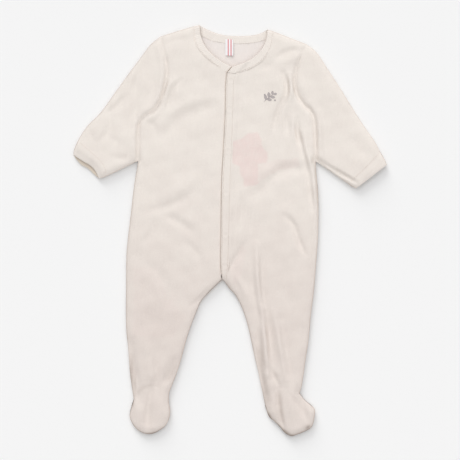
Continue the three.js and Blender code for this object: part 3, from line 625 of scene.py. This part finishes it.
def stain(points):
    """The strength of the stain and of the painted shade beside it: full inside each soft-edged outline,
    which wanders a little with the ripples."""
    wander = points + 2.5 * np.stack([ripples(points * 2.1), ripples(points[..., ::-1] * 1.7)], -1)
    strength = np.zeros(points.shape[:-1])
    for power, outline in STAINS_AND_SHADE:
        ring = np.array(outline + outline[:1], float)
        near = nearest(wander, [ring])[3]
        depth = np.where(within(wander, ring[:-1]), near, -near)
        strength = np.maximum(strength, power * smooth(depth / STAIN_SOFT + 0.5))
    return strength


def soil(points, rows=PAINTED_SHADE_ROWS + TOE_PAINTED_SHADE_ROWS):
    """The painted shade's strength: the sum of its bells, at most 1."""
    return np.clip(folds(points, rows), 0, 1)


front = {name: {key: curve(points) for key, points in side.items()} for name, side in FRONT.items()}
front_seams = {
    name: [broken_line((body[name]["armhole"], 1)), broken_line((front[name]["instep"], 1)),
           broken_line((front[name]["neck"], 1))] for name in FRONT}


def front_lift(points, side):
    """All that shapes a front: its folds and ripples, the dips along its seams, and its way to the
    placket."""
    armhole, instep, neck = front_seams[side]
    shape = folds(points, FRONT_FOLDS + NECK_POINTS + SIDE_LINES) + ripples(points)
    shape += seam_dip(points, armhole, depth=2.3, width=2.9, swell=0.4)
    shape += seam_dip(points, instep, depth=0.2, width=2.0) + seam_dip(points, neck, depth=0.1, width=1.8)
    if side == "right":
        lap = under_lap(points)
        return shape * (1 - lap) - LAP_DROP * lap
    sewn = broken_line((front["left"]["centre"], 1))
    return shape + seam_dip(points, sewn, depth=0.08, width=1.1) + towards_placket(points)


def front_points(side):
    """A front's grid of points: armhole and side on its outer border, neck, centre and inseam on its inner
    one, the shoulder as its first row and the instep as its last."""
    cut = front[side]
    rows = np.concatenate([np.linspace(0, UNDERARM_SHARE, 120), np.linspace(UNDERARM_SHARE, 1, 215)])
    return panel(
        crowded(84), np.unique(rows),
        outer=border((body[side]["armhole"], UNDERARM_SHARE), (body[side]["side"], 1)),
        inner=border((cut["neck"], FRONT_NECK_SHARE), (cut["centre"], CROTCH_SHARE), (cut["inseam"], 1)),
        first=shoulder_rows(side), last=cut["instep"], fade=SHOULDER_FADE)


for side in ("right", "left"):
    points = front_points(side)
    cloth = shell("front_" + side + "_cloth", [upper_layer(points, body_edges, front_lift(points, side))],
                  [marked_velour, inside_knit], up=[True],
                  tint={"stain": stain(points), "soil": soil(points)})
    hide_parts("front_" + side)
    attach(cloth, "root")

# Placket
# A strip of the same velour folded lengthwise, sewn to the left front's edge and run from the neck to the
# crotch. It laps over the right front, and the snaps under it press through as faint rounds.
BAND_WALL = 2.4
TUCK = 0.3  # a sewn edge runs this far under its neighbour
SNAP_HEIGHTS = [204, 165, 108, 51, -6, -48]
SNAP_RADIUS = 5.5
SNAP_RING, RING_WIDTH = 0.22, 1.4  # how far a snap's rim presses through, and how wide
SNAP_DIP, DIP_WIDTH = 0.12, 2.2
PLACKET_STITCHES = {"sewn": 0.17, "free": 0.86}  # shares of the way across
STITCH_GROOVE = 0.12


def aside(line, gap, near=0.002):
    """A curve moved aside to its left hand, or to its right where the gap is negative."""
    def at(share):
        way = line(share + near) - line(share - near)
        way = way / np.linalg.norm(way, axis=-1, keepdims=True)
        return line(share) + gap * np.stack([-way[..., 1], way[..., 0]], -1)
    return at


def strip(s, t, sewn, free):
    """Points of a narrow band: the share s of the way from its sewn line to its free edge, at the share t
    along."""
    s, t = np.meshgrid(s, t)
    return sewn(t) * (1 - s[..., None]) + free(t) * s[..., None]


def rounded_band(sheet, s, width, radius=1.15, sewn_radius=0.12):
    """Rounds the band's two long edges, the sewn one less: within its radius of either one its faces close
    in on each other by a quarter round."""
    outer, inner = sheet
    upwards = np.sign(outer[..., 2] - inner[..., 2])
    pinch = 0.0
    for away, edge_radius in ((s * width, sewn_radius), ((1 - s) * width, radius)):
        pinch += 0.9 * edge_radius * (1 - np.sqrt(1 - (1 - np.clip(away / edge_radius, 0, 1)) ** 2))
    outer[..., 2] -= pinch * upwards
    inner[..., 2] += pinch * upwards
    return outer, inner


def placket_sheet(s, t):
    """The placket's two faces: a level strip with a ring and a dip at each snap and a groove along each
    row of stitches. Each of these is a bell of the distance from its own line or point."""
    points = strip(s, t, aside(front["left"]["centre"], TUCK), placket_free)
    lift = np.full(points.shape[:-1], PLACKET_RISE) + 0.4 * ripples(points)
    for height in SNAP_HEIGHTS:
        middle = np.array([PLACKET_WIDTH / 2 - past_placket(np.array([0.0, height])), height])
        away = np.linalg.norm(points - middle, axis=-1)
        lift += SNAP_RING * np.exp(-(((away - SNAP_RADIUS + 1) / RING_WIDTH) ** 2))
        lift -= SNAP_DIP * np.exp(-((away / DIP_WIDTH) ** 2))
    s_grid = np.meshgrid(s, t)[0]
    for row in PLACKET_STITCHES.values():
        lift -= STITCH_GROOVE * np.exp(-(((s_grid - row) * PLACKET_WIDTH / 0.8) ** 2))
    return rounded_band(upper_layer(points, body_edges, lift, BAND_WALL), s_grid, PLACKET_WIDTH)


def band_uv(s, t, width, length):
    """Where a band's points lie on its own flat strip: each share times the strip's width or length."""
    s, t = np.meshgrid(s, t)
    return np.stack([s * width, t * length], -1)


placket_across, placket_down = crowded(18, 0.7), np.linspace(0.002, 0.998, 230)
placket = shell("placket_cloth", [placket_sheet(placket_across, placket_down)], [velour], up=[True],
                uv=[band_uv(placket_across, placket_down, PLACKET_WIDTH, placket_free.length)])
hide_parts("placket")
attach(placket, "root")

# Neck binding
# A narrow strip of rib knit folded over the raw edge of the neck, in three stretches. The left one runs on
# over the placket's top end and over the right one.
NECK_EDGE = {
    "right": [(-41.5, 279.5), (-39.5, 264.5), (-34.5, 252.5), (-26.5, 242), (-14.5, 232), (2.5, 223),
              (12, 219)],
    "left": [(51, 273.5), (49, 260.5), (43, 247), (32, 236), (19, 228.5), (3.5, 223)],
    "back": [(-41.5, 279.5), (-31.5, 274), (-17.5, 268.5), (-2.5, 265.5), (17.5, 265), (34, 266.5),
             (43.5, 269.5), (51, 273.5)],
}
OVER_PLACKET_SHARE = 0.88
BINDING_WIDTH = 9.0
BINDING_RISE = 0.4
NECK_STITCHES = 0.14  # share of the way across
over_placket = curve([FRONT["left"]["neck"][-1], PLACKET_EDGE[0]])
left_back_neck = curve(BODY["left"]["back_neck"][::-1])
binding_seams = {
    "right": aside(front["right"]["neck"], -TUCK),
    "left": aside(border((front["left"]["neck"], OVER_PLACKET_SHARE), (over_placket, 1)), TUCK),
    "back": aside(border((body["right"]["back_neck"], 0.5), (left_back_neck, 1)), -TUCK),
}
RIB_PALE, RIB_DEEP = (0.875, 0.815, 0.76, 1), (0.85, 0.785, 0.73, 1)
rib_knit = cloth_material("rib_knit", RIB_PALE, RIB_DEEP, grain=1300, relief=0.00025, wale=105)


def binding_sheet(side, s, t):
    """A binding's two faces: laid on the front or the back, wavering a little, with a groove along its
    stitches, a bell across their line. Beside the placket it follows the lap or the placket's rise."""
    points = strip(s, t, binding_seams[side], curve(NECK_EDGE[side]))
    s_grid, t_grid = np.meshgrid(s, t)
    wavy = 0.12 * np.sin(t_grid * 61) * np.sin(t_grid * 23 + 1)
    stitched = -STITCH_GROOVE * np.exp(-(((s_grid - NECK_STITCHES) * BINDING_WIDTH / 0.6) ** 2))
    if side == "back":
        sheet = lower_layer(points, body_edges, 0.0, BAND_WALL)
        sheet[1][..., 2] += wavy
        return rounded_band(sheet, s_grid, BINDING_WIDTH)
    laid = BINDING_RISE + wavy + stitched
    laid += -LAP_DROP * under_lap(points) if side == "right" else towards_placket(points)
    laid += folds(points, NECK_POINTS)
    return rounded_band(upper_layer(points, body_edges, laid, BAND_WALL), s_grid, BINDING_WIDTH)


binding_across, binding_down = crowded(12, 0.7), np.linspace(0, 1, 130)
for side, long in (("right", 0.104), ("left", 0.102), ("back", 0.126)):
    laid_out = band_uv(binding_down, binding_across, long * 1000, BINDING_WIDTH).transpose(1, 0, 2)
    binding = shell("neck_binding_" + side + "_cloth", [binding_sheet(side, binding_across, binding_down)],
                    [rib_knit], up=[side != "back"], uv=[laid_out])
    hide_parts("neck_binding_" + side)
    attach(binding, "root")

# Sleeves
# One piece of velour each, folded and sewn along its underside into a tube, then set into the armhole.
# Laid flat, each rounds off along its top and its underside.
SLEEVE = {
    "right": {
        "top": [(-95, 264), (-109, 252.5), (-121, 236.5), (-141, 209.5), (-159, 184.5), (-171.5, 166.5),
                (-181.5, 155), (-194.5, 142), (-206.5, 124)],
        "under": [(-125, 95), (-144, 85.5), (-160.5, 77.5), (-168.5, 74)],
        "end": [(-206.5, 124), (-192, 112), (-176, 97), (-168.5, 85), (-168.5, 74)],
    },
    "left": {
        "top": [(104.5, 253.5), (118.5, 242), (133.5, 219.5), (149.5, 195), (166, 168), (182, 143),
                (197, 121.5), (203.5, 109)],
        "under": [(116.5, 94.5), (133.5, 83), (149.5, 71.5), (160, 64.5)],
        "end": [(203.5, 109), (184, 88), (160, 64.5)],
    },
}
CUFF = {
    "right": {
        "top": [(-206.5, 124), (-212, 111), (-213.5, 103)],
        "under": [(-168.5, 74), (-173, 72), (-178.5, 71)],
        "hem_front": [(-213.5, 103), (-200.5, 94.5), (-190.6, 88.6), (-184, 82), (-178.5, 71)],
        "hem_back": [(-213.5, 103), (-204, 91), (-193, 84.5), (-186.5, 78), (-178.5, 71)],
    },
    "left": {
        "top": [(203.5, 109), (210, 98), (213.5, 89.5)],
        "under": [(160, 64.5), (166, 60), (172, 57.5)],
        "hem_front": [(213.5, 89.5), (193, 73.5), (172, 57.5)],
        "hem_back": [(213.5, 89.5), (193, 73.5), (172, 57.5)],
    },
}
SLEEVE_FOLDS = [
    # right: ridges beside the armhole, long soft troughs, and short wrinkles above the cuff
    (-98, 250, -98, 178, 7, 4, 1.2), (-112, 232, -112, 165, 6, 6, -1.2),
    (-119, 226, -129, 172, -4, 6, -2.0), (-128, 174, -128, 144, 0, 6, -1.6),
    (-141, 184, -166, 160, 2, 5, -2.0), (-164, 162, -178, 120, 6, 5, -1.9),
    (-192, 140, -186, 122, 0, 4, -0.9), (-166, 127, -150, 119, 0, 5, -0.7),
    (-150, 150, -140, 110, 4, 9, 1.1), (-160, 100, -136, 96, 0, 5, -1.0),
    # left: smooth, with a ridge beside the armhole and a crease along the underarm
    (121, 160, 122, 104, 0, 4, 1.4), (97, 205, 104, 182, 0, 4, 1.0), (116, 97, 134, 87, 0, 3, -2.4),
    (134, 87, 171, 66, 0, 2.6, -3.2), (160, 128, 186, 112, 0, 8, -0.6), (118, 225, 140, 150, 5, 10, 1.0),
    (150, 110, 172, 92, 0, 7, 0.5), (184, 118, 197, 106, 0, 4, 0.4), (176, 112, 188, 98, 0, 4, -0.4),
]
sleeve = {name: {key: curve(points) for key, points in side.items()} for name, side in SLEEVE.items()}
cuff = {name: {key: curve(points) for key, points in side.items()} for name, side in CUFF.items()}
OUTWARDS = {"right": -1, "left": 1}  # the side of a curve run down the garment that its arm lies on
sleeve_edges = {
    "right": [broken_line((sleeve["right"]["top"], 1), (cuff["right"]["top"], 1)),
              broken_line((cuff["right"]["under"], -1), (sleeve["right"]["under"], -1))],
    "left": [broken_line((cuff["left"]["top"], -1), (sleeve["left"]["top"], -1)),
             broken_line((sleeve["left"]["under"], 1), (cuff["left"]["under"], 1))],
}


def tube(side, upper_points, lower_points, s, lift):
    """A flattened tube: an upper and a lower layer that meet along both long edges. At those edges the
    inner points lie further in along their own row."""
    def inward(points):
        way = np.gradient(points, axis=1)
        way /= np.linalg.norm(way, axis=-1, keepdims=True)
        return way * np.where(s < 0.5, 1, -1)[None, :, None]
    edges = sleeve_edges[side]
    pressed = pressed_up(lower_points, side)
    return [upper_layer(upper_points, edges, lift, gap=0, way=inward(upper_points)),
            lower_layer(lower_points, edges, pressed, gap=0, way=inward(lower_points))]


for side in ("right", "left"):
    cut, s = sleeve[side], crowded(64, 0.5)
    points = panel(s, np.linspace(0, 1, 104), outer=cut["top"], inner=cut["under"],
                   first=aside(body[side]["armhole"], -OUTWARDS[side] * TUCK), last=cut["end"])
    shape = folds(points, SLEEVE_FOLDS) + ripples(points)
    shape += seam_dip(points, front_seams[side][0], depth=2.5, width=3.0, swell=0.7)
    shape += seam_dip(points, broken_line((cut["end"], 1)), depth=0.1, width=1.6)
    cloth = shell("sleeve_" + side + "_cloth", tube(side, points, points, s, shape), [velour, inside_knit],
                  up=[True, False])
    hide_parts("sleeve_" + side)
    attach(cloth, "root")

# Cuffs
# The sleeve's end turned in and stitched down as a hem, so it is two cloths thick and a little stiffer.
# The right one's upper edge is drawn back and shows the inside of its lower one.
# Painted shade: the cuffs' inner faces are coloured a deeper golden tone for the shade inside the cuff's
# mouth
SHADED_PALE, SHADED_DEEP = (0.80, 0.715, 0.615, 1), (0.75, 0.66, 0.555, 1)
cuff_inside = cloth_material("cuff_inside", SHADED_PALE, SHADED_DEEP, grain=1500, relief=0.0003)
hem_velour = cloth_material("hem_velour", IVORY_PALE, IVORY_DEEP, **PILE)
HEM_FULLNESS, MOUTH_DROP, CUFF_SEAM, HEM_ROLL = 0.5, 2.2, 0.12, 0.8
cuff_bands = {}
for side in ("right", "left"):
    cut, s, t = cuff[side], crowded(64, 0.5), np.linspace(0, 1, 18)
    first = aside(sleeve[side]["end"], -OUTWARDS[side] * TUCK)
    upper = panel(s, t, outer=cut["top"], inner=cut["under"], first=first, last=cut["hem_front"])
    lower = panel(s, t, outer=cut["top"], inner=cut["under"], first=first, last=cut["hem_back"])
    down = np.meshgrid(s, t)[1]
    shape = ripples(upper) + folds(upper, SLEEVE_FOLDS)
    shape += HEM_FULLNESS * np.exp(-(((down - 0.5) / 0.25) ** 2))
    if side == "right":
        shape -= MOUTH_DROP * smooth(down * 1.2 - 0.2)
    shape -= CUFF_SEAM * np.exp(-((down / 0.12) ** 2)) + HEM_ROLL * np.exp(-(((down - 1) / 0.06) ** 2))
    cuff_bands[side] = tube(side, upper, lower, s, shape)
    cloth = shell("cuff_" + side + "_cloth", cuff_bands[side], [hem_velour, cuff_inside], up=[True, False])
    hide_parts("cuff_" + side)
    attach(cloth, "root")

# Feet
# Each is an upper with an arched seam over the instep and a sole, sewn together round the toe. The soles
# lie on the table, and the uppers are crushed a little from being laid down.
FOOT = {
    "right": {
        "outer": [(-131, -230), (-134.5, -241.5), (-136.5, -252.5), (-133.5, -262), (-127, -270.5),
                  (-118.5, -276)],
        "inner": [(-83, -221), (-83.5, -233), (-81.5, -246), (-83.5, -257.5), (-89, -267),
                  (-99.5, -274.5)],
        "toe": [(-118.5, -276), (-112.5, -277.2), (-106, -276.8), (-99.5, -274.5)],
        "heel": [(-131, -230), (-83, -221)],
    },
    "left": {
        "outer": [(94.5, -221.5), (102, -231), (114.5, -242), (115.5, -251), (111.5, -267), (101.5, -274)],
        "inner": [(48, -238.5), (53, -253), (61, -260.5), (68.5, -268), (73.5, -274.5), (79, -278.5)],
        "toe": [(101.5, -274), (92.5, -277.5), (84.5, -280), (79, -278.5)],
        "heel": [(94.5, -221.5), (48, -238.5)],
    },
}
FOOT_FOLDS = [
    (-111, -235, -112, -268, 0, 5, -3.0), (-122, -234, -124, -262, 0, 7, 1.1),
    (-120, -268, -98, -268, 0, 4, 0.6), (68, -248, 73, -272, 0, 3.6, -2.8),
    (57, -240, 60, -252, 0, 4, 1.2), (84, -272, 100, -268, 0, 4, 0.6), (103, -238, 112, -256, 0, 4, 1.2),
    (82, -224, 105, -262, 2, 3.6, -1.6),
]
UPPER_FLAT = {"right": (0.056, 0.067, 0.0030), "left": (0.070, 0.069, 0.0033)}
SOLE_FLAT = {"right": (0.056, 0.058, 0.0025), "left": (0.070, 0.060, 0.0027)}
foot = {name: {key: curve(points) for key, points in side.items()} for name, side in FOOT.items()}
ankle_ends = {"right": ((-138, -190), (-75, -200)), "left": ((99, -205), (43, -215))}
for side in ("right", "left"):
    cut = foot[side]
    outer_end, inner_end = ankle_ends[side]
    before, after = curve([outer_end, cut["outer"](0.0)]), curve([inner_end, cut["inner"](0.0)])
    around = [(before, 1), (cut["outer"], 1), (cut["toe"], 1), (cut["inner"], -1), (after, -1)]
    if side == "left":
        around = [(line, -way) for line, way in around[::-1]]
    foot_edges = [broken_line(*around, step=1.5)]
    gap = -OUTWARDS[side] * TUCK
    s, t = crowded(50, 0.5), crowded(50, 0.4)
    upper, lower = (
        panel(s, t, outer=cut["outer"], inner=cut["inner"], first=aside(seam, gap), last=cut["toe"])
        for seam in (front[side]["instep"], cut["heel"]))
    shape = folds(upper, FRONT_FOLDS + FOOT_FOLDS) + ripples(upper)
    shape += seam_dip(upper, front_seams[side][1], depth=0.2, width=2.0)
    clean = np.zeros(upper.shape[:-1])
    # painted shade on the feet: their creases on the uppers, and the shaded rims under the toes on uppers
    # and soles
    for name, sheet, shade_strength, flat in (
        ("foot_upper_" + side, upper_layer(upper, foot_edges, shape), soil(upper), UPPER_FLAT[side]),
        ("foot_sole_" + side, lower_layer(lower, foot_edges, pressed_up(lower, side)),
        soil(lower, TOE_PAINTED_SHADE_ROWS),
         SOLE_FLAT[side]),
    ):
        cloth = shell(name + "_cloth", [sheet], [marked_velour, inside_knit],
                      up=[name.startswith("foot_upper")], tint={"stain": clean, "soil": shade_strength})
        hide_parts(name)
        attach(cloth, "root")

# Neck label
# A blank tag of white woven satin, caught in the seam at the back of the neck. Two fine red lines are
# woven in down its length.
LABEL = {"left": -6.3, "right": 4.5, "top": 260.5, "bottom": 238.5, "lean": 0.4, "thick": 0.45}
RED_LINES = (-2.4, 1.4)
SATIN_PALE, SATIN_DEEP = (0.93, 0.92, 0.925, 1), (0.90, 0.885, 0.895, 1)
LINE_RED = (0.74, 0.26, 0.28, 1)
label_satin = cloth_material("label_satin", SATIN_PALE, SATIN_DEEP, grain=2600, relief=0.0001)
tree = label_satin.node_tree
shader = tree.nodes["Principled BSDF"]
white = shader.inputs["Base Color"].links[0].from_socket
place = add(tree, "ShaderNodeTexCoord").outputs["Object"]
across = add(tree, "ShaderNodeSeparateXYZ", {"Vector": place}).outputs["X"]
for x in RED_LINES:
    away = joined(tree, joined(tree, across, x * 0.001, "SUBTRACT"), 0.0, "ABSOLUTE")
    white = blend(tree, ranged(tree, away, 0.001, 0.0005), white, LINE_RED)
tree.links.new(white, shader.inputs["Base Color"])
s, t = np.meshgrid(np.linspace(0, 1, 14), np.linspace(0, 1, 26))
label_points = np.stack([LABEL["left"] + (LABEL["right"] - LABEL["left"]) * s,
                         LABEL["top"] + (LABEL["bottom"] - LABEL["top"]) * t - LABEL["lean"] * s], -1)
label_height = BAND_WALL + 0.35 + 0.5 * np.sin(t * 2.6) * (0.6 + 0.4 * s) + 0.5 * t**3 * (s - 0.3) ** 2
label = shell("neck_label_cloth", [(heights(label_points, label_height + LABEL["thick"]),
                                    heights(label_points, label_height))], [label_satin], up=[True])
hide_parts("neck_label")
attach(label, "root")

# Snaps
# Pressed steel snap fasteners, shut, between the placket and the lap under it. Each is a plain round cap,
# and only its rim presses through the cloth.
snap_steel = bpy.data.materials.new("snap_steel")
snap_steel.use_nodes = True
tree = snap_steel.node_tree
shader = tree.nodes["Principled BSDF"]
place = add(tree, "ShaderNodeTexCoord").outputs["Object"]
brushed = noise(tree, place, 1800.0, 4.0)
steel = blend(tree, brushed, (0.62, 0.62, 0.60, 1), (0.74, 0.74, 0.72, 1))
tree.links.new(steel, shader.inputs["Base Color"])
tree.links.new(ranged(tree, brushed, 0.0, 1.0, 0.25, 0.45), shader.inputs["Roughness"])
shader.inputs["Metallic"].default_value = 1.0
for number in range(1, len(SNAP_HEIGHTS) + 1):
    for material_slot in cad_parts["snap_" + str(number)].material_slots:
        material_slot.material = snap_steel

# Stitches
# Ivory sewing thread, lockstitched by machine along the placket, the neck binding and the cuffs. Each
# stitch lies in the groove that it has pulled into the cloth.
STITCH = {"pitch": 3.0, "length": 2.5, "radius": 0.24}
thread = cloth_material("thread", (0.87, 0.81, 0.755, 1), (0.84, 0.775, 0.72, 1), grain=3000, relief=0.0002)


def stitch_row(name, path, sink=0.0):
    """Short rounded stitches along a path of points: each is a ring of six points carried along it, its
    radius rising from a quarter at the ends to full in the middle."""
    run = np.concatenate([[0], np.cumsum(np.linalg.norm(np.diff(path, axis=0), axis=1))])
    middles = np.arange(STITCH["pitch"], run[-1] - STITCH["pitch"] / 2, STITCH["pitch"])
    share = np.array([-0.5, -0.38, -0.15, 0.15, 0.38, 0.5])
    bulge = np.array([0.25, 0.8, 1, 1, 0.8, 0.25]) * STITCH["radius"]
    place = middles[:, None] + share * STITCH["length"]
    spine = np.stack([np.interp(place, run, path[:, k]) for k in range(3)], -1)
    ahead = spine[:, -1:] - spine[:, :1]
    ahead /= np.linalg.norm(ahead, axis=-1, keepdims=True)
    aside_way = np.cross(ahead, (0, 0, 1))
    aside_way /= np.linalg.norm(aside_way, axis=-1, keepdims=True)
    top = np.cross(aside_way, ahead)
    turn = np.arange(6) * math.tau / 6
    ring = np.cos(turn)[:, None] * aside_way[:, :, None] + np.sin(turn)[:, None] * top[:, :, None]
    spine[..., 2] += STITCH["radius"] * 0.5 - sink
    points = spine[:, :, None] + ring * bulge[None, :, None, None]
    count = len(middles)
    index = np.arange(count * 36).reshape(count, 6, 6)
    after = np.roll(index, -1, axis=2)
    sides = np.stack([index[:, :-1], after[:, :-1], after[:, 1:], index[:, 1:]], -1).reshape(-1, 4)
    ends = np.concatenate([index[:, 0, ::-1], index[:, -1]])
    points = points.reshape(-1, 3)
    points[:, :2] += FRAME_SHIFT
    mesh = bpy.data.meshes.new(name)
    mesh.from_pydata((points * 0.001).tolist(), [], sides.tolist() + ends.tolist())
    mesh.polygons.foreach_set("use_smooth", np.ones(len(mesh.polygons), bool))
    mesh.materials.append(thread)
    piece = bpy.data.objects.new(name, mesh)
    bpy.context.collection.objects.link(piece)
    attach(piece, "root")
    return piece


along = np.linspace(0.01, 0.99, 400)
for name, share in PLACKET_STITCHES.items():
    stitch_row("placket_stitches_" + name, placket_sheet(np.array([share]), along)[0][:, 0])
for side, until in (("right", 0.8), ("left", 0.92)):
    on_binding = binding_sheet(side, np.array([NECK_STITCHES]), along * until)[0]
    stitch_row("neck_stitches_" + side, on_binding[:, 0])
    band = cuff_bands[side][0][0]
    stitch_row("cuff_stitches_" + side, band[2, 4:-4])

# Sprig
# A small printed sprig on the left chest, in soft grey ink: a bent stem with a few leaves and two buds.
SPRIG_PLACE = (53.7, 181.6)
LEAVES = [  # x, y, turn in degrees, length, half width
    (-7.5, -6.0, 38, 18.0, 0.6), (-4.8, -3.9, 98, 7.0, 2.1), (-3.4, -2.8, -12, 6.6, 2.0),
    (-0.6, -0.7, 94, 7.2, 2.2), (0.9, 0.5, -10, 6.8, 2.0), (3.9, 2.8, 88, 5.6, 1.8),
    (5.0, 3.7, 8, 5.2, 1.7), (-7.2, 1.8, 60, 2.8, 1.2), (6.2, -5.0, 20, 2.8, 1.2),
]
ink = cloth_material("grey_ink", (0.50, 0.455, 0.45, 1), (0.44, 0.40, 0.395, 1), grain=1800, relief=0.0002)
for number, (x, y, turn, length, half) in enumerate(LEAVES):
    u, v = np.meshgrid(np.linspace(0, 1, 22), np.linspace(-1, 1, 7))
    way = np.array([math.cos(math.radians(turn)), math.sin(math.radians(turn))])
    side_way = np.array([-way[1], way[0]])
    wide = half * np.sin(np.pi * (0.04 + 0.92 * u)) ** 0.8
    leaf = np.array(SPRIG_PLACE) + (x, y) + (u * length)[..., None] * way + (v * wide)[..., None] * side_way
    top, _ = upper_layer(leaf, body_edges, front_lift(leaf, "left"))
    printed, under = top + (0, 0, 0.22), top + (0, 0, 0.02)
    petal = shell("sprig_leaf_" + str(number + 1), [(printed, under)], [ink], up=[True])
    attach(petal, "root")

# Table
# A smooth, pale, matt table top under the garment.
table = bpy.data.meshes.new("table")
TABLE_HALF, TABLE_TOP = 2.5, -0.0002  # in metres
corners = [(-1, -1), (1, -1), (1, 1), (-1, 1)]
table.from_pydata([(x * TABLE_HALF, y * TABLE_HALF, TABLE_TOP) for x, y in corners], [], [(0, 1, 2, 3)])
table_top = bpy.data.objects.new("table", table)
bpy.context.collection.objects.link(table_top)
paper = bpy.data.materials.new("paper")
paper.use_nodes = True
tree = paper.node_tree
shader = tree.nodes["Principled BSDF"]
tooth = noise(tree, add(tree, "ShaderNodeTexCoord").outputs["Object"], 400.0)
white = blend(tree, tooth, (0.90, 0.90, 0.90, 1), (0.92, 0.92, 0.92, 1))
tree.links.new(white, shader.inputs["Base Color"])
shader.inputs["Roughness"].default_value = 1.0
shader.inputs["Specular IOR Level"].default_value = 0.0
table.materials.append(paper)

# Light
# Two soft lamps beyond the neck, a little to the wearer's right, one high and one low, in a white room
# that is brightest overhead. The low one rakes across the folds.
LAMPS = {  # where from, angle across in degrees, strength
    "high_lamp": ((-0.08, 0.72, 0.69), 60, 0.66),
    "low_lamp": ((-0.34, 0.88, 0.30), 30, 1.87),
}
for name, (place, across, strength) in LAMPS.items():
    lamp = bpy.data.lights.new(name, "SUN")
    lamp.angle = math.radians(across)
    lamp.energy = strength
    lamp_holder = bpy.data.objects.new(name, lamp)
    lamp_holder.location = place
    lamp_holder.rotation_euler = Vector(place).to_track_quat("Z", "Y").to_euler()
    bpy.context.collection.objects.link(lamp_holder)
ROOM_LOW, ROOM_HIGH = 0.10, 0.965  # the room's brightness level with the table and overhead
room = bpy.data.worlds.new("room")
room.use_nodes = True
tree = room.node_tree
towards = add(tree, "ShaderNodeTexCoord").outputs["Generated"]
upwards = add(tree, "ShaderNodeSeparateXYZ", {"Vector": towards}).outputs["Z"]
overhead = ranged(tree, upwards, 0.0, 1.0, ROOM_LOW, ROOM_HIGH)
tree.links.new(overhead, tree.nodes["Background"].inputs["Strength"])
tree.nodes["Background"].inputs["Color"].default_value = (1, 1, 1, 1)
bpy.context.scene.world = room
bpy.context.scene.view_settings.view_transform = "Standard"

# Camera
# Straight above the garment, far enough off that the view hardly narrows with height.
VIEW_WIDTH = 0.6256  # what the frame takes in at the garment's height
CAMERA_HEIGHT = 2.6
camera = bpy.data.cameras.new("camera")
camera.sensor_width = 36
camera.lens = 36 * (CAMERA_HEIGHT - LAID * 0.001) / VIEW_WIDTH
camera.clip_end = 20
camera_holder = bpy.data.objects.new("camera", camera)
camera_holder.location = (0, 0.0009, CAMERA_HEIGHT)
bpy.context.collection.objects.link(camera_holder)
bpy.context.scene.camera = camera_holder
